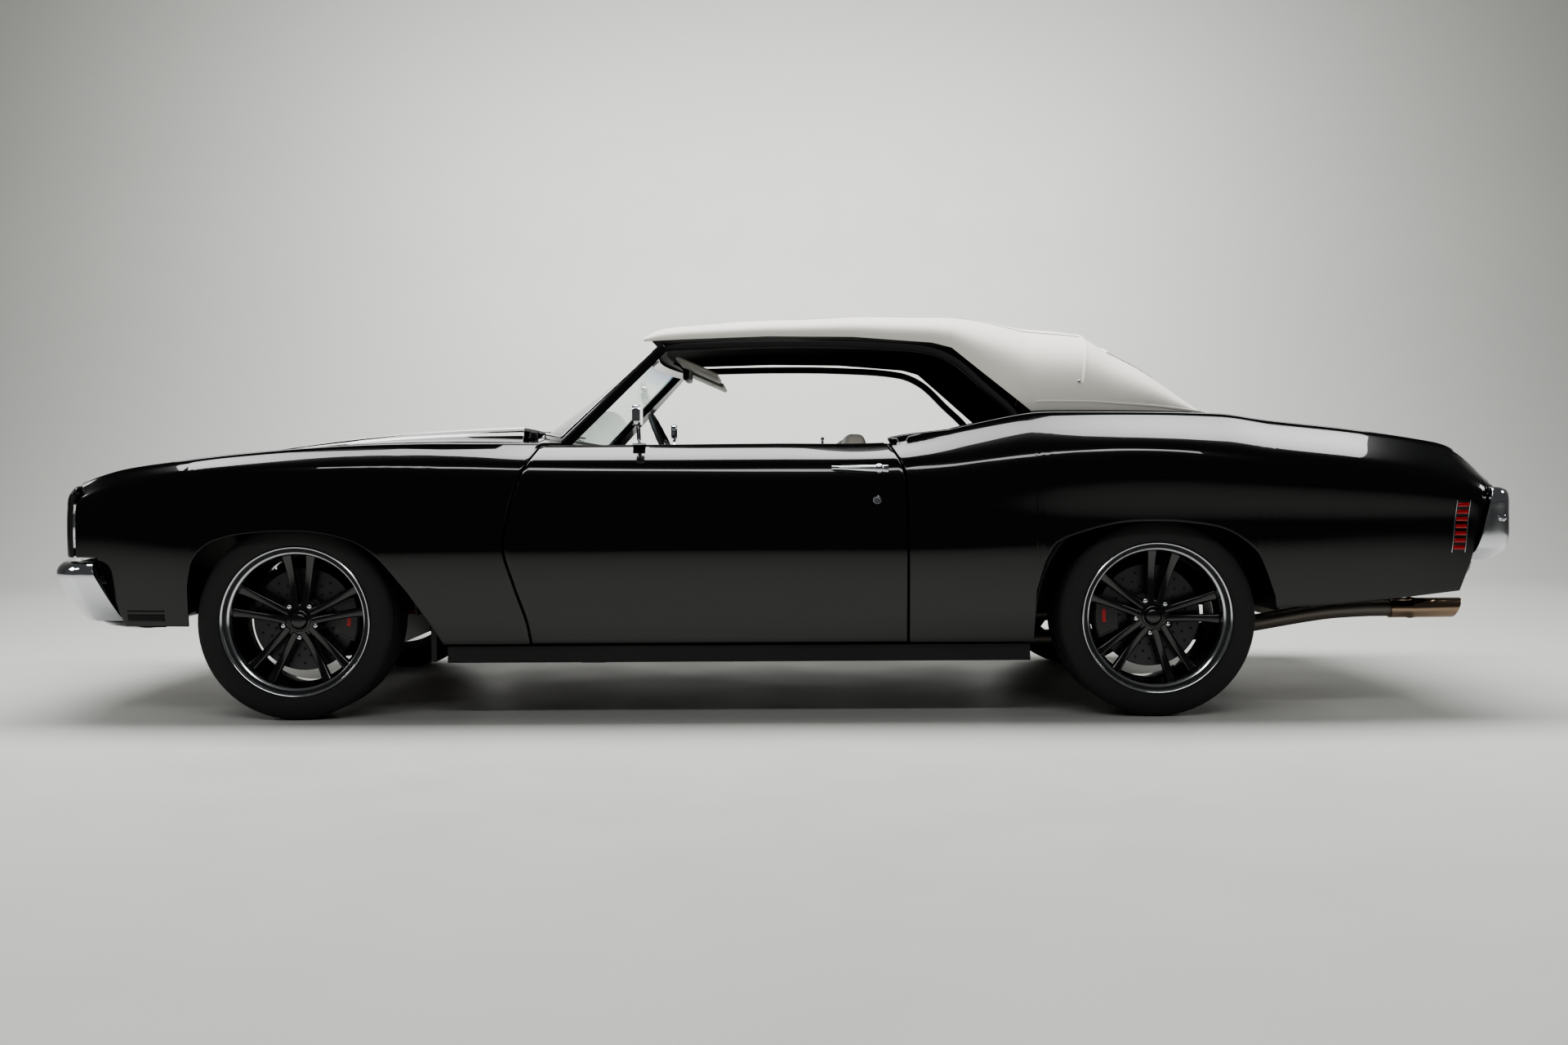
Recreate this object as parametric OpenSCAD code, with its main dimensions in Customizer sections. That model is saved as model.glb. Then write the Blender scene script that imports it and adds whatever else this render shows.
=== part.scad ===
/* [Car] */
// Distance between the axles
wheelbase = 2845; // [2600:5:3450]
// Front bumper to front axle
front_overhang = 937; // [800:1:1150]
// Rear axle to rear bumper
rear_overhang = 1227; // [1000:1:1400]
// Greatest width over the rear quarters
body_width = 1914; // [1590:2:2200]
// Lift of every body line above the drawn height
body_lift = 0; // [0:1:60]

/* [Wheels] */
// Outer diameter of a tyre
tyre_d = 652; // [560:2:690]
// Width of a front tyre
front_tyre_w = 245; // [205:5:265]
// Width of a rear tyre
rear_tyre_w = 275; // [225:5:285]
// Diameter over the rim lip
rim_d = 497; // [430:1:530]
// Body side to the outer face of the front tyre
front_tuck = 73; // [60:1:110]
// Body side to the outer face of the rear tyre
rear_tuck = 60; // [50:1:110]
// Radius of the hub spindles
spindle_r = 24; // [20:1:30]
// Radius of the brake discs
disc_r = 172; // [140:1:180]
// Thickness of the brake discs
disc_t = 28; // [20:1:32]

/* [Openings] */
// Gap round the doors
door_gap = 7; // [6:0.5:10]
// Gap round the hood and the trunk lid
lid_gap = 9; // [8:0.5:14]
// Seam between fixed panels
seam = 0.7; // [0.3:0.1:0.9]
// Door hinge axis ahead of the foremost point of the door
hinge_ahead = 54; // [50:1:60]
// Door hinge axis inboard of the skin
hinge_inset = 18; // [14:1:22]
// Radius of the hinge pins
pin_r = 6; // [5:0.5:8]
// Length of the hood hinge arms
hood_arm = 113; // [100:1:130]

/* [Walls] */
// Thickness of a fender or quarter skin
skin = 5; // [3:0.5:8]
// Thickness of the hood and trunk lid
lid_t = 14; // [10:1:22]
// Thickness of the glass
glass_t = 6; // [4:0.5:8]
// Thickness of the folding top
top_t = 9; // [6:1:12]
// Thickness of the floor and firewall
floor_t = 12; // [8:1:16]
// Running clearance of a pin in its bore
fit = 0.3; // [0.2:0.05:0.45]

/* [Hidden] */

black = "#0c0c0e";
chrome = "#c9ccd1";

// The body lines are drawn on these axles and carried to the sizes above by X, W and Z
drawn_front = -1567.5;
drawn_rear = 1277.5;
drawn_nose = -2504.5;
drawn_tail = 2504.5;
drawn_width = 1914;
front_axle = front_overhang - (front_overhang + wheelbase + rear_overhang) / 2;
rear_axle = front_axle + wheelbase;
wheel_r = tyre_d / 2;
function X(x) =
    x < drawn_front ? front_axle + (x - drawn_front) * front_overhang / (drawn_front - drawn_nose) :
    x > drawn_rear ? rear_axle + (x - drawn_rear) * rear_overhang / (drawn_tail - drawn_rear) :
    front_axle + (x - drawn_front) * wheelbase / (drawn_rear - drawn_front);
function W(y) = y * body_width / drawn_width;
function Z(z) = z + body_lift;

// ---- Lines of the body: [station, value], each joined by a smooth curve ----
// Height of the belt, the upper edge of the side
belt_z = [[-2330, 752], [-2283, 783], [-2230, 806], [-2150, 828], [-2000, 849], [-1770, 876],
    [-1450, 900], [-1160, 907], [-770, 905], [0, 908], [400, 910], [550, 936], [670, 964],
    [860, 1000], [980, 1005], [1500, 996], [1660, 974], [1940, 943], [2220, 902], [2300, 880],
    [2370, 829], [2430, 776], [2460, 748]];
belt_w = [[-2330, 796], [-2200, 826], [-1900, 850], [-1500, 858], [-1000, 848], [-770, 830],
    [0, 816], [700, 816], [1000, 820], [1400, 816], [1800, 797], [2200, 766], [2460, 722]];
// Height of the shoulder, where the side turns under the belt
shoulder_z = [[-2330, 715], [-2150, 775], [-1900, 812], [-1500, 832], [-1000, 838], [0, 836],
    [560, 842], [850, 866], [1130, 882], [1340, 878], [1510, 862], [2000, 815], [2300, 770], [2460, 705]];
shoulder_w = [[-2330, 838], [-2150, 872], [-1900, 898], [-1500, 914], [-1000, 914], [0, 906],
    [400, 908], [700, 925], [1000, 942], [1300, 948], [1700, 938], [2100, 905], [2460, 850]];
middle_w = [[-2330, 848], [-2150, 885], [-1900, 915], [-1567, 933], [-1000, 936], [400, 938],
    [900, 946], [1300, 950], [1700, 941], [2100, 910], [2460, 858]];
crease_w = [[-2330, 842], [-2150, 880], [-1900, 915], [-1567, 938], [-1000, 941], [0, 942],
    [900, 946], [1300, 949], [1700, 938], [2100, 905], [2460, 856]];
lower_w = [[-2330, 815], [-1900, 885], [-1567, 905], [-1000, 908], [0, 908], [900, 915],
    [1300, 920], [1700, 905], [2100, 872], [2460, 840]];
sill_w = [[-2330, 780], [-1900, 845], [-1000, 862], [900, 862], [1700, 850], [2460, 800]];
// Heights of the sill, lower line, crease and middle of the side
side_heights = [182, 370, 534, 640];
// Height of the hood's side edge
hood_edge_z = [[-2352, 776], [-2283, 797], [-2150, 834], [-2000, 857], [-1770, 884], [-1450, 909],
    [-1160, 918], [-860, 916]];
// Station of the door's front and rear gaps at a height
front_gap = [[200, -780], [323, -798], [453, -838], [583, -867], [787, -822], [895, -765], [930, -748]];
rear_gap = [[200, 458], [766, 451], [819, 443], [863, 425], [910, 398], [930, 388]];
// Lower edge of the fender, round the front wheel
fender_low = [[-2300, 541], [-2222, 541], [-2212, 506], [-2140, 311], [-1918, 311], [-1913, 440],
    [-1895, 520], [-1847, 578], [-1790, 604], [-1722, 618], [-1600, 627], [-1488, 623], [-1400, 605],
    [-1332, 578], [-1269, 528], [-1184, 421], [-1120, 322], [-1076, 248], [-700, 248]];
// Lower edge of the quarter panel, round the rear wheel
quarter_low = [[440, 248], [870, 248], [874, 418], [900, 516], [935, 573], [1026, 612], [1141, 639],
    [1238, 645], [1367, 639], [1496, 613], [1593, 541], [1625, 477], [1657, 396], [1664, 357],
    [1840, 365], [2110, 389], [2282, 408], [2315, 506], [2377, 752], [2500, 752]];
hood_half = 690;
hood_rear = -905;
cowl_half = 745;

function mix(a, b, t) = a + (b - a) * t;
function ease(t) = let (s = min(1, max(0, t))) s * s * (3 - 2 * s);
// Value at x of a smooth curve through the points of p (cubic, with its neighbours' slopes)
function slope(p, i) = let (a = max(0, i - 1), b = min(len(p) - 1, i + 1))
    (p[b][1] - p[a][1]) / (p[b][0] - p[a][0]);
function cubic(p, i, t) = let (d = p[i + 1][0] - p[i][0])
    p[i][1] * (1 + 2 * t) * (1 - t) * (1 - t) + p[i + 1][1] * t * t * (3 - 2 * t)
    + d * (slope(p, i) * t * (1 - t) * (1 - t) - slope(p, i + 1) * t * t * (1 - t));
function curve(p, x, i = 0) =
    x <= p[0][0] ? p[0][1] : x >= p[len(p) - 1][0] ? p[len(p) - 1][1] :
    x > p[i + 1][0] ? curve(p, x, i + 1) : cubic(p, i, (x - p[i][0]) / (p[i + 1][0] - p[i][0]));

// Section of the side at station x, as [height, half width]
function side_section(x) = [[side_heights[0], curve(sill_w, x)], [side_heights[1], curve(lower_w, x)],
    [side_heights[2], curve(crease_w, x)], [side_heights[3], curve(middle_w, x)],
    [curve(shoulder_z, x), curve(shoulder_w, x)], [curve(belt_z, x), curve(belt_w, x)]];
function side_w(x, z) = curve(side_section(x), z);

// ---- Solids from rows of points ----
function cell(a, b, c, d) = [[a, b, c], [a, c, d]];
function joined(rows) = [for (r = rows) for (p = r) p];
function volume6(p, f) = [for (t = f) cross(p[t[0]], p[t[1]]) * p[t[2]]] * [for (t = f) 1];
function turned(f) = [for (t = f) [t[0], t[2], t[1]]];
function moved(rows, v) = [for (r = rows) [for (p = r) p + v]];
// Drawn points carried to the real car
function carried(rows) = [for (r = rows) [for (p = r) [X(p[0]), W(p[1]), Z(p[2])]]];

module closed(p, f) polyhedron(points = p, faces = volume6(p, f) > 0 ? turned(f) : f, convexity = 8);

// A wall between an outer and an inner grid, with openings [first row, last row, first, last column]
module panel(outer, inner, holes = []) {
    n = len(outer);
    m = len(outer[0]);
    function at(k, i, j) = (k * n + i) * m + j;
    function cut(i, j) = len([for (h = holes) if (i >= h[0] && i < h[1] && j >= h[2] && j < h[3]) 1]) > 0;
    function full(i, j) = i >= 0 && i < n - 1 && j >= 0 && j < m - 1 && !cut(i, j);
    skins = [for (i = [0 : n - 2]) for (j = [0 : m - 2]) if (full(i, j)) each concat(
        cell(at(0, i, j), at(0, i + 1, j), at(0, i + 1, j + 1), at(0, i, j + 1)),
        cell(at(1, i, j), at(1, i, j + 1), at(1, i + 1, j + 1), at(1, i + 1, j)))];
    rims = [for (i = [0 : n - 2]) for (j = [0 : m - 1]) if (full(i, j) != full(i, j - 1)) each full(i, j)
        ? cell(at(0, i + 1, j), at(0, i, j), at(1, i, j), at(1, i + 1, j))
        : cell(at(0, i, j), at(0, i + 1, j), at(1, i + 1, j), at(1, i, j))];
    sides = [for (i = [0 : n - 1]) for (j = [0 : m - 2]) if (full(i, j) != full(i - 1, j)) each full(i, j)
        ? cell(at(0, i, j), at(0, i, j + 1), at(1, i, j + 1), at(1, i, j))
        : cell(at(0, i, j + 1), at(0, i, j), at(1, i, j), at(1, i, j + 1))];
    closed(concat(joined(outer), joined(inner)), concat(skins, rims, sides));
}

// A solid through rings of points, closed by flat ends
module bar(rings) {
    n = len(rings);
    m = len(rings[0]);
    wall = [for (i = [0 : n - 2]) for (j = [0 : m - 1])
        each cell(i * m + j, (i + 1) * m + j, (i + 1) * m + (j + 1) % m, i * m + (j + 1) % m)];
    ends = [for (j = [1 : m - 2]) each [[0, j, j + 1], [(n - 1) * m, (n - 1) * m + j + 1, (n - 1) * m + j]]];
    closed(joined(rings), concat(wall, ends));
}

// Rings of a round tube along a path; up is a direction that the path never takes
function unit(v) = v / norm(v);
function tube(path, r, sides = 12, up = [0, 0, 1]) = [for (i = [0 : len(path) - 1]) let (
    d = unit(path[min(len(path) - 1, i + 1)] - path[max(0, i - 1)]),
    u = unit(cross(d, up)), v = cross(u, d))
    [for (a = [0 : sides - 1]) path[i] + r * (cos(a * 360 / sides) * u + sin(a * 360 / sides) * v)]];

module both_sides() {
    children();
    mirror([0, 1, 0]) children();
}
// A box from its low to its high corner
module box(low, high) translate(low) cube(high - low);
// A cylinder along Y between two places
module across(x, z, y0, y1, r) translate([x, y0, z]) rotate([-90, 0, 0]) cylinder(r = r, h = y1 - y0,
    $fn = 48);

// ---- Outer panels, drawn for the left side (negative y) ----
// Half width of the inner edge of the fender top and of the quarter top
fender_in = [[-2300, 698], [-874, 698], [-826, cowl_half + 0.6], [-700, cowl_half + 0.6]];
quarter_in = [[388, 750], [862, 757], [877, 760], [1300, 753], [1478, 712], [1490, 651], [2460, 600]];
row_steps = [0, 0.08, 0.16, 0.23, 0.3, 0.36, 0.42, 0.48, 0.54, 0.6, 0.67, 0.74, 0.82, 0.9, 0.96, 1];

// Grid point on the side: station x, share v of the height between the lower edge and the belt
function side_point(x, v, low, edge) = let (z = mix(lookup(x, low), curve(belt_z, x), v),
    x2 = edge == 0 ? x : x + (curve(edge[0], z) + edge[1] - x) * edge[2])
    [x2, -side_w(x2, z), z];
function side_rows(stations, low, inner_edge, top_rise) = [for (s = stations) let (x = s[0], e = s[1],
    top = side_point(x, 1, low, e), zt = top[2] + top_rise(top[0]))
    concat([for (v = row_steps) side_point(x, v, low, e)],
        [[top[0], top[1] + 14, mix(top[2], zt, 0.75)], [top[0], -lookup(top[0], inner_edge), zt]])];
// The same rows moved inward by the wall thickness
function inward(rows, t) = [for (r = rows) [for (j = [0 : len(r) - 1])
    j < len(row_steps) - 1 ? r[j] + [0, t, 0] : j == len(row_steps) - 1 ? r[j] + [0, t, -t] : r[j] + [0,
        0, -t]]];

function fender_rise(x) = curve(hood_edge_z, x) - curve(belt_z, x);
function quarter_rise(x) = 8;
half_gap = door_gap / 2;
fender_stations = concat([for (x = [-2299, -2280, -2255, -2224, -2213, -2180, -2141, -2090, -2010, -1950,
    -1918, -1912, -1880, -1847, -1790, -1722, -1640, -1560, -1488, -1400, -1332, -1269, -1225, -1184,
    -1120, -1077, -1000, -940, -905]) [x, 0]], [for (t = [0.25, 0.5, 0.75, 1]) [-902 + 26 * t, [front_gap,
        -half_gap, t]]]);
quarter_stations = concat([for (t = [1, 0.6, 0.25]) [470 + 20 * (1 - t), [rear_gap, half_gap, t]]],
    [for (x = [520, 600, 680, 760, 820, 856, 868, 875, 900, 935, 1026, 1141, 1238, 1367, 1440, 1478, 1490,
    1540, 1593, 1625, 1657, 1665, 1740, 1840, 1970, 2110, 2210, 2282, 2310, 2328, 2344, 2360, 2377, 2400,
        2422, 2440])
    [x, 0]]);

module fender() color(black) {
    rows = side_rows(fender_stations, fender_low, fender_in, function (x) fender_rise(x));
    panel(carried(rows), carried(inward(rows, skin)));
}
module quarter_panel() color(black) {
    rows = side_rows(quarter_stations, quarter_low, quarter_in, function (x) quarter_rise(x));
    thin = inward(rows, skin);
    // Beside the rear seat the wall is as thick as the whole side
    inner = [for (i = [0 : len(rows) - 1]) quarter_stations[i][0] > 860 ? thin[i] :
        [for (j = [0 : len(thin[i]) - 1]) let (p = thin[i][j]) j < len(row_steps) - 1
            ? [min(p[0] + 8, 856), j == 0 ? -814 : -752, p[2]] : j == len(row_steps) - 1 ? [p[0] + 8,
                -752, p[2] - 12]
            : [p[0] + 8, j == len(thin[i]) - 1 ? p[1] : -752, p[2] - 12]]];
    panel(carried(rows), carried(inner));
}
module front_fender_left() fender();
module front_fender_right() mirror([0, 1, 0]) fender();
module quarter_panel_left() quarter_panel();
module quarter_panel_right() mirror([0, 1, 0]) quarter_panel();

// ---- Doors ----
door_low = 250;
hinge_heights = [522, 652];
hinge_x = X(-867) - hinge_ahead;
hinge_y = W(935) - hinge_inset;
knuckle_r = pin_r + 4;
strap_in = 60;
// The skin stands this far ahead of the door's front face, and this thick
flange = 14;
flange_t = 4;
door_us = concat([0, flange / 1190], [for (i = [1 : 12]) i / 12]);
module door() color(black) {
    rows = [for (u = door_us) [for (v = row_steps) let (
        z = mix(door_low, curve(belt_z, mix(-765, 398, u)) - 2, v),
        x = mix(curve(front_gap, z) + half_gap, curve(rear_gap, z) - half_gap, u)) [x, -side_w(x, z), z]]];
    last = len(rows) - 1;
    inner = [for (i = [0 : last]) [for (p = rows[i]) i == 0 ? p + [0, flange_t, 0] :
        [p[0] + (i == last ? -14 : 0), mix(-800, -751.5, ease((p[2] - 690) / 190)), p[2]]]];
    panel(carried(rows), carried(inner));
    for (z = hinge_heights) hinge_strap(z);
}
// Gooseneck strap from the hinge pin to the front face of the door
module hinge_strap(z) {
    reach = X(min([for (h = [-18, -9, 0, 9, 18]) curve(front_gap,
        z + h)])) + half_gap + flange - hinge_x - 2 * fit;
    translate([hinge_x, -hinge_y, Z(z) - 18]) difference() {
        union() {
            cylinder(r = knuckle_r, h = 36, $fn = 48);
            linear_extrude(36) polygon([[-5, 6], [6, -1], [15, 28], [34, 56], [reach, strap_in - 4],
                [reach, strap_in + 8], [26, strap_in + 8], [2, 34]]);
        }
        translate([0, 0, -1]) cylinder(r = pin_r + fit, h = 38, $fn = 48);
    }
}
module door_left() door();
module door_right() mirror([0, 1, 0]) door();

// Hinge pillars with the pins that carry the doors
module door_hinge_pins() color(black) both_sides() {
    box([hinge_x - 60, -W(860), Z(floor_z) + fit], [hinge_x - 20, -W(700), Z(878)]);
    box([hinge_x - 20, -W(780), Z(275)], [X(-880) - 12 - fit - 19.4, -W(700), Z(878)]);
    for (z = hinge_heights) {
        for (end = [-28, 20]) box([hinge_x - 21, -hinge_y - 9, Z(z) + end], [hinge_x + 9, -hinge_y + 9,
            Z(z) + end + 8]);
        for (end = [-28, 20]) box([hinge_x - 50, -hinge_y - 4, Z(z) + end], [hinge_x - 15, -W(850),
            Z(z) + end + 8]);
        translate([hinge_x, -hinge_y, Z(z) - 28]) cylinder(r = pin_r, h = 56, $fn = 48);
    }
}

// Door mirror: a rounded head on a stalk
mirror_x = -431;
mirror_y = 893;
module door_mirror() color(chrome) {
    foot = curve(belt_z, mirror_x) - 2 + fit;
    translate([X(mirror_x) - 13, -W(mirror_y), Z(1000)]) rotate([90, 0, 90]) linear_extrude(26) {
        square([110 - 30, 68], center = true);
        square([110, 68 - 30], center = true);
        for (a = [-40, 40]) for (b = [-19, 19]) translate([a, b]) circle(r = 15, $fn = 32);
    }
    box([X(mirror_x) - 9, -W(850), Z(foot)], [X(mirror_x) + 9, -W(790), Z(foot) + 8]);
    translate([X(mirror_x), -W(838), Z(foot) + 4]) cylinder(r = 7, h = Z(970) - Z(foot), $fn = 32);
}
module mirror_left() door_mirror();
module mirror_right() mirror([0, 1, 0]) door_mirror();

// ---- Hood, cowl and windshield ----
hump_h = 58;
hump_half = 372;
function hood_hump(x, y) = hump_h * max(0, min(1, (x + 2120) / 1215)) * ease((hump_half - abs(y)) / 62);
function hood_front_x(y) = mix(-2352, -2306, pow(y / hood_half, 2));
function hood_rear_x(y) = hood_rear + 40 * pow(y / hood_half, 2);
function hood_base_z(x, y) = curve(hood_edge_z, x) + 14 * (1 - pow(y / hood_half, 2));
hood_ys = [-690, -640, -560, -460, -385, -360, -335, -305, -200, -70, 70, 200, 305, 335, 360, 385, 460,
    560, 640, 690];
hood_us = [0, 0.015, 0.04, 0.08, 0.14, 0.22, 0.32, 0.43, 0.55, 0.67, 0.78, 0.88, 0.95, 1];
module hood() color(black) {
    rows = [for (u = hood_us) [for (y = hood_ys) let (x = mix(hood_front_x(y), hood_rear_x(y), u))
        [x, y, hood_base_z(x, y) + hood_hump(x, y)]]];
    panel(carried(rows), moved(carried(rows), [0, 0, -lid_t]));
    // Lugs that the hinge arms carry
    both_sides() difference() {
        union() {
            box([hood_pin[0] - 14, -hood_pin_y - 12, hood_pin[1]],
                [hood_pin[0] + 14, -hood_pin_y, Z(hood_base_z(-950, 520)) - lid_t - 0.4]);
            across(hood_pin[0], hood_pin[1], -hood_pin_y - 12, -hood_pin_y, 14);
        }
        across(hood_pin[0], hood_pin[1], -hood_pin_y - 13, -hood_pin_y + 1, pin_r + fit);
    }
}
// The arm turns on a pin of the apron and lifts the hood's rear end as it opens
apron_y = 476;
arm_angle = 45;
arm_root = [X(-1030), Z(786)];
hood_pin = arm_root + hood_arm * [cos(arm_angle), sin(arm_angle)];
arm_y = apron_y + 6;
hood_pin_y = arm_y + 12 + 6;
module hood_hinges() color("#26272a") both_sides() {
    translate([arm_root[0], -arm_y, arm_root[1]]) rotate([90, -arm_angle,
        0]) linear_extrude(12) difference() {
        union() {
            translate([0, -12]) square([hood_arm, 24]);
            circle(r = 15, $fn = 48);
            translate([hood_arm, 0]) circle(r = 15, $fn = 48);
        }
        circle(r = pin_r + fit, $fn = 48);
    }
    across(hood_pin[0], hood_pin[1], -hood_pin_y - 12, -arm_y - 12, pin_r);
}

// Windshield plane: u runs across from -1 to 1, v up from the cowl to the header
glass_lean = [0.58, 0, -0.81];
function shield(u, v) = mix([-870 + 170 * u * u, 742 * u, 951 - 34 * u * u],
    [-438 + 71 * u * u, 620 * u, 1262], v);
shield_us = [-1, -0.92, -0.75, -0.5, -0.25, 0, 0.25, 0.5, 0.75, 0.92, 1];
shield_vs = [0, 0.05, 0.3, 0.6, 0.94, 1];
module windshield_frame() color(black) {
    rows = carried([for (u = shield_us) [for (v = shield_vs) shield(u, v)]]);
    panel(rows, moved(rows, glass_lean * 30), [[1, 9, 1, 4]]);
}
module windshield_glass() color("#5a6a70", 0.35) {
    edge = 0.9193;
    rows = carried([for (k = [-1, -0.815, -0.544, -0.272, 0, 0.272, 0.544, 0.815, 1])
        [for (v = [0.0513, 0.3, 0.6, 0.9387]) shield(k * edge, v)]]);
    panel(moved(rows, glass_lean * 8), moved(rows, glass_lean * (8 + glass_t)));
}
cowl_under = 880;
module cowl_panel() color(black) {
    rows = [for (k = [-1.004, -0.92, -0.75, -0.5, -0.25, 0, 0.25, 0.5, 0.75, 0.92, 1.004]) let (y = k * 742,
        x0 = max(hood_rear_x(min(hood_half, abs(y))) + lid_gap, abs(y) > hood_half ? -822 : -2000),
        p = shield(max(-1, min(1, k)), 0)) [for (t = [0, 0.5, 1])
        [mix(x0, p[0] - seam, t), y, mix(hood_base_z(-880, min(y * y, 690 * 690) / 690), p[2], t)]]];
    under = [for (r = rows) [for (p = r) [p[0], p[1], cowl_under]]];
    panel(carried(rows), carried(under));
}

// ---- Nose ----
nose_plan = [[0, -2410], [400, -2400], [650, -2380], [760, -2362], [810, -2345], [835, -2332], [850, -2320]];
nose_ks = [-1, -0.985, -0.95, -0.9, -0.82, -0.7, -0.5, -0.25, 0, 0.25, 0.5, 0.7, 0.82, 0.9, 0.95, 0.985, 1];
nose_rows = [[541, 0], [566, 0], [600, 0], [640, 0], [680, 0], [716, 0], [745, 5], [766, 20]];
lamp_opening = [3, 13, 1, 5];
function nose_point(k, z, lean) = let (y = k * (side_w(-2315, min(z, 700))))
    [lookup(abs(k) * 850, nose_plan) + lean, y, z];
module nose_panel() color(black) {
    rows = [for (k = nose_ks) let (tip = nose_point(k, 766, 20), y = min(abs(tip[1]), 848),
        back = y > 702 ? -2299 - seam : hood_front_x(y) - lid_gap,
        top_z = y > 702 ? mix(curve(hood_edge_z, -2299), 776, ease((y - 698) / 120)) : hood_base_z(-2340, y))
        concat([for (r = nose_rows) nose_point(k, r[0], r[1])], [[back, sign(k) * min(y, 812), top_z]])];
    inner = [for (r = rows) [for (j = [0 : len(r) - 1]) j == len(r) - 1 ? r[j] - [0, 0, 16] :
        [min(r[j][0] + 60, -2299 - seam), r[j][1] * 0.994, j > 6 ? r[j][2] - 16 : r[j][2]]]];
    panel(carried(rows), carried(inner), [lamp_opening]);
}
grille_x = -2352;
lamp_ys = [535, 672];
lamp_z = 641;
lamp_r = 62;
module grille() color("#151518") difference() {
    box([X(grille_x), -W(690), Z(566) + seam], [X(grille_x) + 22, W(690), Z(716) - seam]);
    for (y = lamp_ys) for (s = [-1, 1]) translate([X(grille_x) - 1, s * W(y), Z(lamp_z)]) rotate([0, 90, 0])
        cylinder(r = lamp_r + fit, h = 24, $fn = 64);
    for (s = [-1, 1]) for (k = [0 : 2]) for (b = [0 : 1])
        box([X(grille_x) - 1, s < 0 ? -W(450) + k * 140 : W(50) + k * 140, Z(590) + b * 60],
            [X(grille_x) + 10, s < 0 ? -W(450) + k * 140 + 120 : W(50) + k * 140 + 120, Z(630) + b * 60]);
}
module headlamps() color("#dfe5ea") for (y = lamp_ys) for (s = [-1, 1])
    translate([X(grille_x) - 6, s * W(y), Z(lamp_z)]) rotate([0, 90, 0]) {
        cylinder(r = lamp_r, h = 40, $fn = 64);
        translate([0, 0, -6]) cylinder(r1 = lamp_r - 22, r2 = lamp_r, h = 6, $fn = 64);
    }

// ---- Bumpers: a section [outward, height] carried along a plan of [x, y] points ----
function plan_normal(p, i) = let (a = p[max(0, i - 1)], b = p[min(len(p) - 1, i + 1)], d = b - a)
    [d[1], -d[0]] / norm(d);
function both_ways(half) = concat([for (i = [0 : len(half) - 1]) [half[i][0], -half[i][1]]],
    [for (i = [len(half) - 2 : -1 : 0]) half[i]]);
// slant: how far the ends lean along the car for each unit of height over mid_z
function plan_rows(plan, section, out, slant = 0, mid_z = 0) = [for (i = [0 : len(plan) - 1])
    let (n = plan_normal(plan, i) * out,
        lean = i == 0 || i == len(plan) - 1 ? slant : i == 1 || i == len(plan) - 2
        ? slant / 2 : 0)
    [for (s = section) [plan[i][0] + n[0] * s[0] + lean * (s[1] - mid_z), plan[i][1] + n[1] * s[0], s[1]]]];
front_slant = -0.36;
rear_slant = 0.26;
front_plan = both_ways([[-2190, 908], [-2250, 905], [-2300, 888], [-2345, 850], [-2385, 800], [-2420, 720],
    [-2450, 620], [-2478, 470], [-2495, 290], [-2504.5, 100], [-2504.5, 0]]);
front_outer = [[-55, 528], [-26, 525], [-5, 506], [0, 484], [-10, 455], [-38, 400], [-72, 352], [-100, 326]];
front_inner = [[-58, 518], [-42, 505], [-32, 492], [-30, 476], [-38, 448], [-62, 400], [-92, 356], [-112,
    336]];
module front_bumper() color(black)
    panel(carried(plan_rows(front_plan, front_outer, -1, front_slant, 420)),
        carried(plan_rows(front_plan, front_inner, -1, front_slant, 420)));
module front_valance() color(black) {
    plan = both_ways([[-2130, 800], [-2200, 792], [-2262, 740], [-2330, 600], [-2372, 400], [-2390, 150],
        [-2390, 0]]);
    section = [[0, 322], [-30, 306], [-110, 292], [-210, 288]];
    rows = carried(plan_rows(plan, section, -1));
    panel(rows, moved(rows, [0, 0, 8]));
}
rear_plan = both_ways([[2352, 897], [2396, 893], [2430, 877], [2455, 845], [2470, 790], [2480, 700],
    [2488, 560], [2492, 480], [2500, 280], [2504.5, 100], [2504.5, 0]]);
rear_outer = [[-62, 750], [-26, 750], [0, 712], [0, 680], [0, 600], [-2, 580], [-12, 548], [-40, 527],
    [-72, 508]];
rear_inner = [[-62, 738], [-38, 736], [-26, 706], [-26, 680], [-26, 600], [-28, 580], [-36, 560], [-56,
    541], [-80, 522]];
lamp_cells = [[4, 7, 3, 4], [13, 16, 3, 4]];
module rear_bumper() color(black)
    panel(carried(plan_rows(rear_plan, rear_outer, 1, rear_slant, 629)),
        carried(plan_rows(rear_plan, rear_inner, 1, rear_slant, 629)), lamp_cells);
module tail_lamps() color("#8a0d12") both_sides() {
    cut = [for (i = [4 : 7]) rear_plan[i]];
    n = [for (i = [4 : 7]) plan_normal(rear_plan, i)];
    edge = [for (i = [0 : 3]) cut[i] + (i == 0 ? 0.5 : i == 3 ? -0.5 : 0) * unit(cut[min(3,
        i + 1)] - cut[max(0, i - 1)])];
    rows = [for (i = [0 : 3]) [for (s = [[-2, 679.5], [-2, 600.5]]) [edge[i][0] + n[i][0] * s[0],
        edge[i][1] + n[i][1] * s[0], s[1]]]];
    back = [for (i = [0 : 3]) [for (s = [[-36, 679.5], [-36, 600.5]]) [edge[i][0] + n[i][0] * s[0],
        edge[i][1] + n[i][1] * s[0], s[1]]]];
    panel(carried(rows), carried(back));
}

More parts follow.
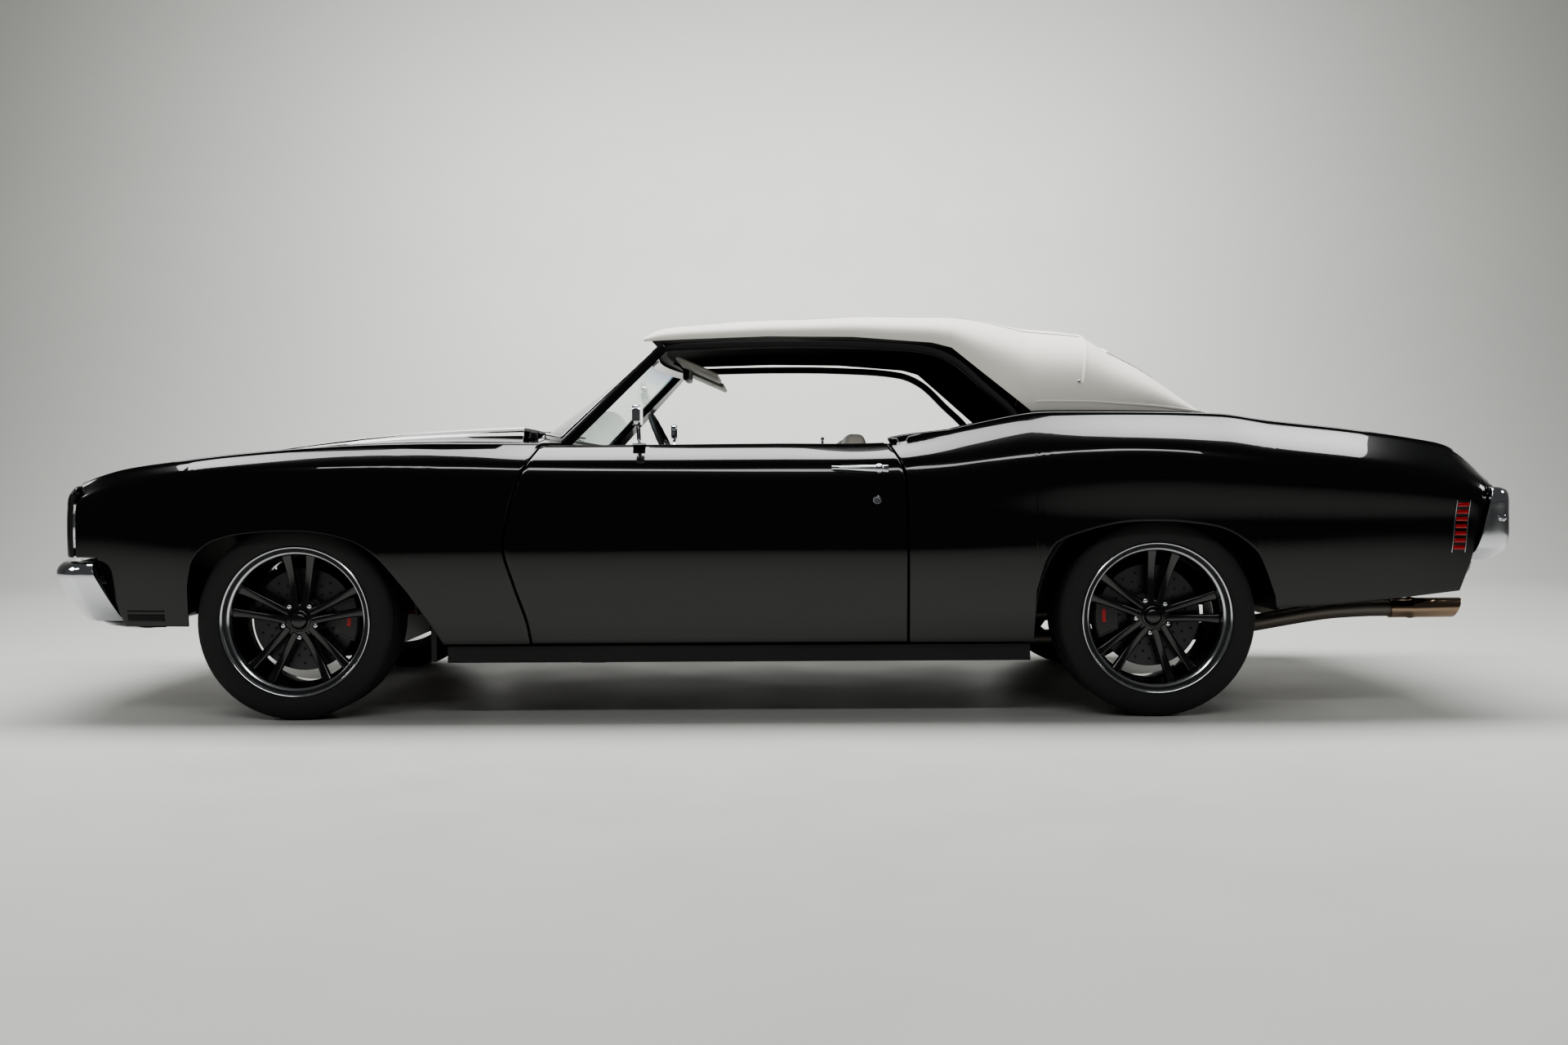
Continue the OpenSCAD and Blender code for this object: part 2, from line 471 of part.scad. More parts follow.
// ---- Tail ----
deck_in = 650;
trunk_front = 1645;
trunk_rear = 2318;
function deck_z(x, y) = curve(belt_z, x) + 8 + 16 * (1 - pow(min(deck_in, abs(y)) / deck_in, 2));
function quarter_edge(x) = lookup(x, quarter_in);
deck_ks = [-1, -0.85, -0.65, -0.4, -0.15, 0.15, 0.4, 0.65, 0.85, 1];
well_wall_top = 958;
module deck_panel() color(black) {
    rows = [for (x = [1492, 1510, 1550, 1600, trunk_front - lid_gap]) [for (k = deck_ks)
        let (y = k * (quarter_edge(x) - seam)) [x, y, deck_z(x, y)]]];
    inner = [for (r = rows) [for (p = r) [p[0], p[1], p[0] < 1520 ? well_wall_top : p[2] - lid_t]]];
    panel(carried(rows), carried(inner));
    // Lugs and pins that carry the trunk hinges
    both_sides() {
        box([trunk_pin[0] - 12, -trunk_pin_y - 30, trunk_pin[1] - 10], [trunk_pin[0] + 12, -trunk_pin_y - 18,
            Z(deck_z(1595, 510)) - lid_t - 1]);
        across(trunk_pin[0], trunk_pin[1], -trunk_pin_y - 20, -trunk_pin_y, pin_r);
    }
}
trunk_pin = [X(1595), Z(deck_z(1595, 490)) - lid_t - 17];
trunk_pin_y = 480;
module trunk_lid() color(black) {
    rows = [for (x = [trunk_front, 1665, 1720, 1800, 1900, 2010, 2110, 2200, 2250, 2290,
        trunk_rear]) [for (k = deck_ks)
        let (y = k * (quarter_edge(x) - lid_gap)) [x, y, deck_z(x, y)]]];
    panel(carried(rows), moved(carried(rows), [0, 0, -lid_t]));
    reach = X(1700) - trunk_pin[0];
    lid_under = Z(deck_z(1706, 490)) - lid_t - 1.2 - trunk_pin[1];
    both_sides() translate([trunk_pin[0], -trunk_pin_y, trunk_pin[1]]) rotate([90, 0,
        0]) linear_extrude(12) difference() {
        union() {
            circle(r = 11, $fn = 48);
            polygon([[-9, 0], [9, 0], [16, -48], [reach - 8, -48], [reach - 8, lid_under], [reach + 8,
                lid_under],
                [reach + 8, -62], [2, -62]]);
        }
        circle(r = pin_r + fit, $fn = 48);
    }
}
tail_top = 2326;
tail_end = 2440;
module tail_panel() color(black) {
    rows = [for (k = deck_ks) [for (x = [tail_top, 2344, 2372, 2400, 2422, tail_end])
        let (y = k * (quarter_edge(x) - seam)) [x, y, deck_z(x, y)]]];
    inner = [for (r = rows) [for (p = r) p + [p[0] == tail_top ? 0 : -10, 0, -12]]];
    panel(carried(rows), carried(inner));
}
module rear_valance() color(black) {
    plan = both_ways([[2290, 848], [2330, 820], [2356, 700], [2366, 400], [2370, 0]]);
    section = [[10, 502], [0, 470], [-50, 412], [-84, 402]];
    rows = carried(plan_rows(plan, section, 1));
    panel(rows, moved(rows, [-6, 0, 6]));
}
module rocker_panels() color("#0a0a0b") both_sides()
    box([X(-1065), -W(858), Z(186)], [X(862), -W(790) - fit, Z(240)]);

// ---- Folding top ----
// Crown height, side edge height and half width of the top along the car
crown_z = [[-432, 1300], [-380, 1332], [-250, 1350], [0, 1364], [300, 1376], [640, 1378], [760, 1368],
    [900, 1346], [1040, 1328], [1096, 1316], [1170, 1268], [1300, 1186], [1400, 1098], [1484, 1012]];
edge_z = [[-432, 1268], [-300, 1272], [0, 1280], [290, 1276], [560, 1254], [625, 1236], [890, 1011]];
top_w = [[-432, 628], [-250, 652], [200, 668], [560, 680], [700, 706], [890, 754], [1300, 750], [1484, 708]];
top_xs = [-432, -415, -380, -300, -180, 0, 200, 400, 560, 625, 680, 760, 830, 890, 980, 1060, 1096, 1130,
    1180,
    1240, 1300, 1360, 1420, 1455, 1482];
top_angles = [0, 6, 14, 24, 36, 50, 65, 90, 115, 130, 144, 156, 166, 174, 180];
top_square = 0.62;
function powered(v, e) = sign(v) * pow(abs(v), e);
function top_point(x, a) = let (w = curve(top_w, x), low = top_edge(x), h = curve(crown_z, x) - low)
    [x, -w * powered(cos(a), top_square), low + h * powered(max(0, sin(a)), top_square)];
// The side edge runs down the rear pillar and then lies on the quarter panel
function top_edge(x) = x < 888 ? lookup(x, edge_z) : curve(belt_z, x) + quarter_rise(x) + 2 * fit;
// A point of the top moved inward by t, towards the middle of its section
function top_inner(x, a, t) = top_point(x, a) + t * [0, cos(a), -max(0.25, sin(a))];
window_cells = [18, 22, 4, 10];
module soft_top() color("#f1efe9") {
    rows = [for (x = top_xs) [for (a = top_angles) top_point(x, a)]];
    inner = [for (x = top_xs) [for (a = top_angles) let (q = top_inner(x, a, top_t), p = top_point(x, a))
        a == 0 || a == 180 ? [x, q[1], p[2]] : q]];
    panel(carried(rows), carried(inner), [window_cells]);
}
module rear_window() color("#6b7478", 0.4) {
    xs = [1180.5, 1240, 1300, 1360, 1419.5];
    angles = [50.3, 65, 90, 115, 129.7];
    panel(carried([for (x = xs) [for (a = angles) top_inner(x, a, 2)]]),
        carried([for (x = xs) [for (a = angles) top_inner(x, a, 2 + 4)]]));
}
rail_path = [[-348.3, 604, 1247], [-300, 628, 1250], [0, 646, 1256], [290, 650, 1252], [540, 656, 1232],
    [640, 668, 1190], [740, 690, 1098], [830, 712, 1012], [850, 722, 960]];
module top_rails() color("#17181a") both_sides() {
    bar(tube([for (p = rail_path) [X(p[0]), -W(p[1]), Z(p[2])]], 13, 8, [0, 1, 0.01]));
    box([X(830), -W(752) + fit + 0.2, Z(900)], [X(830) + 34, -W(738), Z(985)]);
    box([X(830), -W(738) - 1, Z(930)], [X(830) + 34, -W(720), Z(968)]);
}

// ---- Cabin ----
floor_z = 262;
kick = 735;
wide_tunnel = 165;
tunnel = 112;
tunnel_end = -420;
// The panels of the floor meet along seams as wide as fit
module floor_pan() color("#1a1b1e") {
    t = floor_t;
    low = Z(floor_z) + fit;
    top = Z(500);
    ridge = Z(430);
    raised = Z(470);
    wall = X(-899);
    shelf = Z(868);
    both_sides() {
        box([wall, -W(740), low], [wall + t, -wide_tunnel - fit, Z(cowl_under) - fit]);
        box([wall + t + fit, -W(780), low], [X(kick) - t - fit, -wide_tunnel - fit, low + t]);
        box([wall, -wide_tunnel, low], [X(tunnel_end), -wide_tunnel + t, top - t - fit]);
        box([X(tunnel_end) - t, -wide_tunnel + t + fit, low], [X(tunnel_end), -tunnel + t, top - t - fit]);
        box([X(tunnel_end) + fit, -wide_tunnel, low], [X(kick) - t - fit, -tunnel - fit, low + t]);
        box([X(tunnel_end) + fit, -tunnel, low], [X(kick), -tunnel + t, ridge - t - fit]);
        box([X(kick) - t, -W(750), low], [X(kick), -tunnel - fit, raised - fit]);
    }
    box([wall, -wide_tunnel, top + fit], [wall + t, wide_tunnel, Z(cowl_under) - fit]);
    box([wall, -wide_tunnel, top - t], [X(tunnel_end), wide_tunnel, top]);
    box([X(tunnel_end) - t, -tunnel + t + fit, ridge - t], [X(tunnel_end), tunnel - t - fit, top - t - fit]);
    box([X(tunnel_end) + fit, -tunnel, ridge - t], [X(kick), tunnel, ridge]);
    box([X(kick) - t, -tunnel, ridge + fit], [X(kick), tunnel, raised - fit]);
    box([X(kick) - t, -W(592), raised], [X(2270), W(592), raised + t]);
    box([X(1032), -W(592), raised + t + fit], [X(1032) + t, W(592), shelf - fit]);
    box([X(1032), -W(740), shelf], [X(1498), W(740), shelf + t]);
    box([X(1498) - t, -W(640), shelf + t + fit], [X(1498), W(640), Z(well_wall_top) - fit]);
}
// Cushion and back of one bucket seat, drawn about its middle
module bucket(width) {
    hull() for (p = [[-250, 370], [190, 352]]) for (s = [-1, 1]) translate([p[0], s * (width / 2 - 55), p[1]])
        sphere(r = 55, $fn = 20);
    hull() for (p = [[286.8, 360], [298, 900]]) for (s = [-1, 1]) translate([p[0], s * (width / 2 - 50),
        p[1]])
        sphere(r = p[1] > 800 ? 48 : 42, $fn = 20);
}
module front_seats() color("#e9e6df") for (s = [-1, 1]) translate([X(-30), s * W(375), body_lift]) {
    bucket(500);
    box([-240, -200, floor_z + floor_t + 2 * fit], [180, 200, 314.5]);
}
module rear_seat() color("#e9e6df") {
    hull() {
        box([X(500), -W(600), Z(433)], [X(718), W(600), Z(460)]);
        box([X(520), -W(585), Z(433)], [X(718), W(585), Z(486)]);
    }
    hull() {
        box([X(756), -W(585), Z(482) + 2 * fit], [X(900), W(585), Z(560)]);
        box([X(880), -W(570), Z(860)], [X(960), W(570), Z(925)]);
    }
    box([X(520), -W(560), Z(floor_z) + floor_t + 2 * fit], [X(700), -W(140), Z(433) - fit]);
    box([X(520), W(140), Z(floor_z) + floor_t + 2 * fit], [X(700), W(560), Z(433) - fit]);
}
column_end = [X(-352), -W(375), Z(858)];
column_tilt = 25;
module dashboard() color("#141416") {
    front = X(-899) + floor_t + fit;
    difference() {
        union() {
            box([front, -W(735), Z(720)], [X(-600), W(735), Z(878)]);
            box([X(-700), -W(735), Z(640)], [X(-620), W(735), Z(730)]);
            translate(column_end) rotate([0, -90 - column_tilt, 0]) translate([0, 0, 40]) cylinder(r = 26,
                h = 230, $fn = 48);
            translate(column_end) rotate([0, -90 - column_tilt, 0]) translate([0, 0,
                -14]) cylinder(r = 10, h = 80, $fn = 48);
        }
        box([X(-612), -W(560), Z(760)], [X(-590), -W(190), Z(862)]);
    }
}
module steering_wheel() color("#1b1c1e") translate(column_end) rotate([0, -90 - column_tilt, 0]) {
    rotate_extrude($fn = 96) translate([180, 0]) circle(r = 11, $fn = 24);
    difference() {
        union() {
            translate([0, 0, -22]) cylinder(r = 34, h = 50, $fn = 48);
            for (a = [90, 210, 330]) rotate(a) translate([20, -14, -4]) cube([156, 28, 7]);
        }
        translate([0, 0, -15]) cylinder(r = 10 + fit, h = 60, $fn = 48);
    }
}

// ---- Chassis ----
rail_top = 430;
rail_low = 182;
rear_rail = [390, 470];
// The tubes of the frame meet along seams as wide as fit
module chassis_frame() color("#1c1d20") {
    both_sides() {
        box([X(-2358), -W(460), Z(330)], [X(-1080) - fit, -W(380), Z(rail_top)]);
        box([X(-2421.7), -W(460), Z(411)], [X(-2358) - fit, -W(380), Z(rail_top)]);
        box([X(drawn_front) - 72, -W(460), Z(300)], [X(drawn_front) + 72, -W(400), Z(330) - fit]);
        box([X(drawn_front) - 72, -W(460), Z(rail_top) + fit], [X(drawn_front) + 72, -W(400), Z(482)]);
        box([X(-1080), -W(460), Z(floor_z) + fit], [X(-1000), -W(380), Z(rail_top)]);
        box([X(-1080), -W(790), Z(rail_low)], [X(-960), -W(380), Z(floor_z)]);
        box([X(-960) + fit, -W(790), Z(rail_low)], [X(740) - fit, -W(710), Z(floor_z)]);
        box([X(740), -W(790), Z(rail_low)], [X(840), -W(470), Z(floor_z)]);
        box([X(740), -W(550), Z(floor_z) + fit], [X(840), -W(470), Z(rear_rail[0]) - fit]);
        box([X(740), -W(550), Z(rear_rail[0])], [X(2262), -W(470), Z(rear_rail[1]) - fit]);
        box([X(2262) + fit, -W(490), Z(432)], [X(2280) - fit, -W(470), Z(rear_rail[1]) - fit]);
        box([X(2280), -W(490), Z(440)], [X(2292), -W(455), Z(630)]);
        box([X(2292) + fit, -W(474), Z(610)], [X(2465.9), -W(455), Z(630)]);
    }
    box([X(drawn_front) - 150, -W(460), Z(170)], [X(drawn_front) + 150, W(460), Z(300) - fit]);
    box([X(-2380), -W(380) + fit, Z(350)], [X(-2340), W(380) - fit, Z(rail_top)]);
    box([X(-640), -W(710) + fit, Z(168)], [X(-560), W(710) - fit, Z(189)]);
    box([X(2200), -W(470) + fit, Z(400)], [X(2260), W(470) - fit, Z(460)]);
}
module engine() color("#6a6f76") {
    box([X(drawn_front) - 200, -260, Z(300)], [X(-1110), 260, Z(800)]);
    translate([X(-1110) + fit, 0, Z(360)]) rotate([0, 90, 0]) cylinder(r = 118,
        h = X(-560) - X(-1110) - fit, $fn = 64);
}

// Wheel places
front_y = body_width / 2 - front_tuck - front_tyre_w / 2;
rear_y = body_width / 2 - rear_tuck - rear_tyre_w / 2;
king_y = front_y - 72;
king_pin_r = 14;
arm_low = wheel_r - 150;
arm_high = wheel_r + 132;
house_r = wheel_r + 72;
module front_wheelhouses() color("#101013") both_sides() {
    translate([front_axle, -W(862), wheel_r]) rotate([-90, 0, 0]) linear_extrude(W(862) - W(apron_y) + 6)
        difference() {
            circle(r = house_r + 5, $fn = 96);
            circle(r = house_r, $fn = 96);
            translate([-600, -20]) square([1200, 700]);
        }
    difference() {
        union() {
            box([X(-2120), -W(apron_y), Z(560)], [X(-899) - fit, -W(apron_y) + 6, Z(790)]);
            box([X(-1100), -W(apron_y), Z(780)], [X(-899) - fit, -W(apron_y) + 6, Z(815)]);
            across(arm_root[0], arm_root[1], -arm_y - 12, -W(apron_y) + 3, pin_r);
        }
        translate([front_axle, -W(apron_y) - 1, wheel_r]) rotate([-90, 0, 0]) cylinder(r = 250, h = 10,
            $fn = 96);
    }
}
module rear_wheelhouses() color("#101013") both_sides() {
    difference() {
        translate([rear_axle, -W(885), wheel_r]) rotate([-90, 0, 0])
            cylinder(r = house_r + 5, h = W(885) - W(592) - fit, $fn = 96);
        translate([rear_axle, -W(885) - 1, wheel_r]) rotate([-90, 0, 0]) cylinder(r = house_r,
            h = W(885) - W(600), $fn = 96);
        box([rear_axle - 600, -W(900), -200], [rear_axle + 600, -W(500), wheel_r + 20]);
        box([rear_axle - 70, -W(610), 200], [rear_axle + 70, -W(580), wheel_r + 60]);
    }
}

// ---- Wheels, drawn with the outer face up ----
function rim_half(tyre_w) = tyre_w / 2 - 15;
rim_r = rim_d / 2;
bead_r = rim_r - 20;
module road_wheel(tyre_w) {
    h = rim_half(tyre_w);
    rotate_extrude($fn = 144) polygon([[bead_r - 12, -h - 8], [rim_r, -h - 8], [rim_r, -h], [bead_r, -h],
        [bead_r, h],
        [rim_r, h], [rim_r, h + 8], [rim_r - 6, h + 8], [bead_r - 10, h - 8], [bead_r - 16, 70],
            [bead_r - 22, 50],
        [bead_r - 22, 30], [bead_r - 14, -h + 20]]);
    difference() {
        union() {
            translate([0, 0, -disc_t]) cylinder(r = disc_r, h = disc_t, $fn = 96);
            translate([0, 0, -disc_t]) cylinder(r = 76, h = disc_t + 58, $fn = 64);
            for (i = [0 : 4]) rotate(i * 72) for (s = [-1, 1])
                translate([0, 0, 32]) linear_extrude(22) polygon([[56, s * 10], [56, s * 34], [150, s * 44],
                    [bead_r - 14, s * 58], [bead_r - 14, s * 30], [150, s * 18]]);
            cylinder(r = 34, h = 66, $fn = 48);
        }
        translate([0, 0, -disc_t - 1]) cylinder(r = spindle_r + fit, h = disc_t + 52, $fn = 64);
        for (i = [0 : 4]) rotate(i * 72 + 36) translate([57, 0, 20]) cylinder(r = 11, h = 60, $fn = 32);
    }
}
module road_tyre(tyre_w) {
    half = tyre_side(rim_half(tyre_w), tyre_w / 2);
    rotate_extrude($fn = 144) polygon(concat(half, [for (i = [len(half) - 1 : -1 : 0]) [half[i][0],
        -half[i][1]]]));
}
function tyre_side(h, w) = [[bead_r + 0.4, h - 20], [bead_r + 0.4, h - 0.5], [rim_r + 1, h - 0.5],
    [rim_r + 2, h + 7],
    [rim_r + 14, w - 2], [rim_r + 34, w], [wheel_r - 16, w - 6], [wheel_r - 5, w - 16], [wheel_r - 1,
        w - 30], [wheel_r, w - 50]];
module at_wheel(x, y) translate([x, -y, wheel_r]) rotate([90, 0, 0]) children();
module wheel_front_left() color("#2a2b2e") at_wheel(front_axle, front_y) rotate(18) road_wheel(front_tyre_w);
module wheel_front_right() mirror([0, 1, 0]) wheel_front_left();
module wheel_rear_left() color("#2a2b2e") at_wheel(rear_axle, rear_y) rotate(8) road_wheel(rear_tyre_w);
module wheel_rear_right() mirror([0, 1, 0]) wheel_rear_left();
module tyre_front_left() color("#161617") at_wheel(front_axle, front_y) road_tyre(front_tyre_w);
module tyre_front_right() mirror([0, 1, 0]) tyre_front_left();
module tyre_rear_left() color("#161617") at_wheel(rear_axle, rear_y) road_tyre(rear_tyre_w);
module tyre_rear_right() mirror([0, 1, 0]) tyre_rear_left();

// Brake caliper round the rim of the disc, centred at angle a
pad_gap = 6;
module caliper(a) difference() {
    translate([0, 0, -disc_t - pad_gap - 22]) linear_extrude(disc_t + 2 * pad_gap + 40) intersection() {
        difference() {
            circle(r = disc_r + 16, $fn = 96);
            circle(r = disc_r - 56, $fn = 96);
        }
        rotate(a) polygon([[0, 0], [260, -110], [260, 110]]);
    }
    translate([0, 0, -disc_t - pad_gap]) cylinder(r = disc_r + pad_gap, h = disc_t + 2 * pad_gap, $fn = 96);
}
module knuckle() color("#3a3c40") difference() {
    at_wheel(front_axle, front_y) {
        caliper(0);
        translate([0, 0, -66]) cylinder(r = spindle_r, h = 66 + 20, $fn = 64);
        translate([0, -32, -disc_t - pad_gap - 20]) cube([disc_r - 40, 64, 14]);
        translate([-32, -124, -94]) cube([64, 248, 40]);
        translate([-40, -40, -60]) cube([80, 80, 22]);
    }
    for (z = [wheel_r - 125, wheel_r + 95]) translate([front_axle, -king_y,
        z]) cylinder(r = king_pin_r + fit, h = 30, $fn = 48);
}
module knuckle_left() knuckle();
module knuckle_right() mirror([0, 1, 0]) knuckle();

module control_arm(z, inner_y, span) translate([front_axle, -king_y, z]) linear_extrude(16) polygon([[-26,
    -20], [26, -20],
    [30, 100], [span, king_y - inner_y], [span - 50, king_y - inner_y], [0, 120], [-span + 50,
        king_y - inner_y],
    [-span, king_y - inner_y], [-30, 100]]);
module front_suspension() color("#26272a") both_sides() {
    control_arm(arm_low, W(460) + fit, 140);
    control_arm(arm_high, W(460) + fit, 68);
    translate([front_axle, -king_y, arm_low + 10]) cylinder(r = king_pin_r, h = 38, $fn = 48);
    translate([front_axle, -king_y, arm_high - 30]) cylinder(r = king_pin_r, h = 34, $fn = 48);
}
module rear_axle() color("#2b2d31") {
    across(rear_axle, wheel_r, -rear_y + 44, rear_y - 44, 38);
    translate([rear_axle, 0, wheel_r]) sphere(r = 112, $fn = 64);
    both_sides() {
        at_wheel(rear_axle, rear_y) {
            caliper(180);
            translate([0, 0, -60]) cylinder(r = spindle_r, h = 60 + 20, $fn = 64);
            translate([-disc_r + 40, -32, -disc_t - pad_gap - 20]) cube([disc_r - 20, 64, 16]);
        }
        translate([rear_axle, -W(510), wheel_r]) cylinder(r = 46, h = Z(390) - fit - wheel_r, $fn = 48);
    }
    shaft_end = X(-560) + fit;
    translate([shaft_end, 0, Z(346)]) rotate([0, 90, 0]) cylinder(r = 36, h = rear_axle - shaft_end,
        $fn = 48);
}

// ---- Exhaust and tank ----
pipe_r = 29;
tip_z = 336;
pipe_path = [[721, 385, 214], [860, 402, 214], [1120, 492, 226], [1277, 530, 232], [1450, 545, 244],
    [1640, 568, 272],
    [1900, 622, 322], [2030, 640, 334], [2140, 642, tip_z]];
front_pipe = [[-1160, 320, 236], [-900, 300, 226], [-400, 300, 222], [0, 330, 216], [300, 380, 212], [332,
    386, 212]];
module exhaust() color("#6d6258") both_sides() {
    bar(tube([for (p = pipe_path) [X(p[0]), -W(p[1]), Z(p[2])]], pipe_r, 12));
    bar(tube([for (p = front_pipe) [X(p[0]), -W(p[1]), Z(p[2])]], pipe_r, 12));
    for (x = [380, 660]) box([X(x), -W(400), Z(240)], [X(x) + 30, -W(370), Z(floor_z)]);
    translate([X(333), -W(385), Z(214)]) rotate([0, 90, 0]) linear_extrude(X(720) - X(333)) union() {
        square([70, 200], center = true);
        for (s = [-1, 1]) translate([0, s * 100]) circle(r = 35, $fn = 48);
    }
    translate([X(2130), -W(642), Z(tip_z)]) rotate([0, 90, 0]) difference() {
        cylinder(r = pipe_r + 5, h = X(2376) - X(2130), $fn = 64);
        translate([0, 0, -1]) cylinder(r = pipe_r + fit, h = X(2376) - X(2130) + 2, $fn = 64);
    }
}
module fuel_tank() color("#33353a")
    box([X(1760), -W(400), Z(300)], [X(2180), W(400), Z(470) - fit]);

chassis_frame();
floor_pan();
front_wheelhouses();
rear_wheelhouses();
engine();
cowl_panel();
windshield_frame();
windshield_glass();
hood();
hood_hinges();
front_fender_left();
front_fender_right();
nose_panel();
grille();
headlamps();
front_bumper();
front_valance();
door_left();
door_right();
mirror_left();
mirror_right();
door_hinge_pins();
quarter_panel_left();
quarter_panel_right();
deck_panel();
trunk_lid();
tail_panel();
rear_bumper();
tail_lamps();
rear_valance();
rocker_panels();
soft_top();
rear_window();
top_rails();
front_seats();
rear_seat();
dashboard();
steering_wheel();
knuckle_left();
knuckle_right();
front_suspension();
rear_axle();
exhaust();
fuel_tank();
wheel_front_left();
wheel_front_right();
wheel_rear_left();
wheel_rear_right();
tyre_front_left();
tyre_front_right();
tyre_rear_left();
tyre_rear_right();
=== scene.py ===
"""Looks of a low two-door convertible with its white folding top raised, on the CAD frame of the same car.

Every length is drawn in millimetres in the car's own frame (front towards -X, the car's left towards -Y) and
turned into metres when a mesh is made. Body panels are surfaces over a grid: one parameter runs along the
car, the other up the side, and each body line is a cubic through a few drawn points.
"""

import logging
import math
from collections.abc import Callable
from dataclasses import dataclass
from enum import Enum

import bmesh
import bpy
import numpy as np
from mathutils import Matrix, Vector


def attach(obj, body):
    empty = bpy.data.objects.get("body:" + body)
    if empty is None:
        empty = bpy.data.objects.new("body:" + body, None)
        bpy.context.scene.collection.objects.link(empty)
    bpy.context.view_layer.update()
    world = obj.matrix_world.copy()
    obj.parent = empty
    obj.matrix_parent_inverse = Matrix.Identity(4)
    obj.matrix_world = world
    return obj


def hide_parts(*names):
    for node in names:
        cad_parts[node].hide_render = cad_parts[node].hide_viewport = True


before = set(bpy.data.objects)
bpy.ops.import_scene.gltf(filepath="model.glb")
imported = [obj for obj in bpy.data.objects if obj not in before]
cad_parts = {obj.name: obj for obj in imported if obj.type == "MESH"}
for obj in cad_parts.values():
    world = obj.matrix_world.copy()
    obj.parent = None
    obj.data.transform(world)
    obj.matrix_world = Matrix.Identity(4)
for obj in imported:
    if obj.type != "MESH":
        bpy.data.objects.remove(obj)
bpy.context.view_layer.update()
log = logging.getLogger("car")
MM = 0.001
BOTH = (-1, 1)
# Half widths in metres between which the hood is white: a wide band and a thin line outside it
WHITE_BANDS = ((0.072, 0.322), (0.334, 0.343))
# Heights in metres over which the windshield turns blue
SHADE = (1.17, 1.24)
Array = np.ndarray
Rows = Array | list | tuple | float
Chunk = tuple[Array, Array]
Parts = list[tuple]


# ---------------------------------------------------------------- lines and grids
def curve(points: Rows, x: Rows) -> Array:
    """Cubic through [x, value] points, each with its neighbours' slope.

    Args:
        points: rows of [x, value] in rising x.
        x: where to read it, any array.

    Returns:
        The values: h(t) = a(1+2t)(1-t)^2 + b t^2(3-2t) + d(m0 t(1-t)^2 - m1 t^2(1-t)).
    """
    p = np.asarray(points, float)
    x = np.asarray(x, float)
    return section(np.broadcast_to(p[:, 0], x.shape + (len(p),)),
                   np.broadcast_to(p[:, 1], x.shape + (len(p),)), x)


def section(kx: Array, ky: Array, x: Array) -> Array:
    """The same cubic where each place has its own knots, along the last axis of kx and ky.

    Args:
        kx, ky: each place's knots and their values.
        x: where to read.

    Returns:
        The value at each place.
    """
    n = kx.shape[-1]
    lo, hi = np.maximum(np.arange(n) - 1, 0), np.minimum(np.arange(n) + 1, n - 1)
    m = (ky[..., hi] - ky[..., lo]) / (kx[..., hi] - kx[..., lo])
    x = np.clip(x, kx[..., 0], kx[..., -1])
    i = np.clip((x[..., None] > kx).sum(-1) - 1, 0, n - 2)[..., None]
    take = lambda a, k: np.take_along_axis(a, k, -1)[..., 0]
    d = take(kx, i + 1) - take(kx, i)
    t = (x - take(kx, i)) / d
    return (take(ky, i) * (1 + 2 * t) * (1 - t) ** 2 + take(ky, i + 1) * t * t * (3 - 2 * t)
            + d * (take(m, i) * t * (1 - t) ** 2 - take(m, i + 1) * t * t * (1 - t)))


def line(points: Rows, x: Rows) -> Array:
    """Straight pieces through [x, value] points."""
    p = np.asarray(points, float)
    return np.interp(x, p[:, 0], p[:, 1])


def ease(t: Rows) -> Array:
    """3t^2 - 2t^3, held at 0 and 1 outside."""
    s = np.clip(t, 0, 1)
    return s * s * (3 - 2 * s)


def mix(a: Rows, b: Rows, t: Rows) -> Array:
    """a + (b - a) t."""
    return a + (b - a) * t


def unit(v: Array) -> Array:
    """Each vector along the last axis at length one."""
    return v / np.maximum(np.linalg.norm(v, axis=-1, keepdims=True), 1e-9)


def xyz(x: Rows, y: Rows, z: Rows) -> Array:
    """Points from three arrays that broadcast together."""
    return np.stack(np.broadcast_arrays(x, y, z), -1).astype(float)


def resample(path: Rows, n: int) -> Array:
    """A smooth path through points, read at n even shares of its length.

    Args:
        path: points in order.
        n: how many points to read.

    Returns:
        The points.
    """
    p = np.asarray(path, float)
    s = np.concatenate([[0], np.cumsum(np.linalg.norm(np.diff(p, axis=0), axis=1))])
    at = np.linspace(0, s[-1], n)
    return np.stack([curve(np.stack([s, p[:, k]], 1), at) for k in range(p.shape[1])], 1)


# ---------------------------------------------------------------- chunks of mesh: (points in mm, faces)
def grid(p: Array, close_u: bool = False, close_v: bool = False, facing: Rows | None = None) -> Chunk:
    """Quads over a grid of points, turned towards facing if given.

    Args:
        p: points by row and column.
        close_u, close_v: join the last row or column to the first.
        facing: a direction that the faces look to.

    Returns:
        The chunk.
    """
    n, m = p.shape[:2]
    i, j = np.meshgrid(np.arange(n if close_u else n - 1), np.arange(m if close_v else m - 1), indexing="ij")
    i2, j2 = (i + 1) % n, (j + 1) % m
    f = np.stack([i * m + j, i2 * m + j, i2 * m + j2, i * m + j2], -1).reshape(-1, 4)
    q = p.reshape(-1, 3)
    if facing is not None:
        a = np.cross(q[f[:, 2]] - q[f[:, 0]], q[f[:, 3]] - q[f[:, 1]])
        if (a @ np.asarray(facing, float)).sum() < 0:
            f = f[:, ::-1]
    return q, f


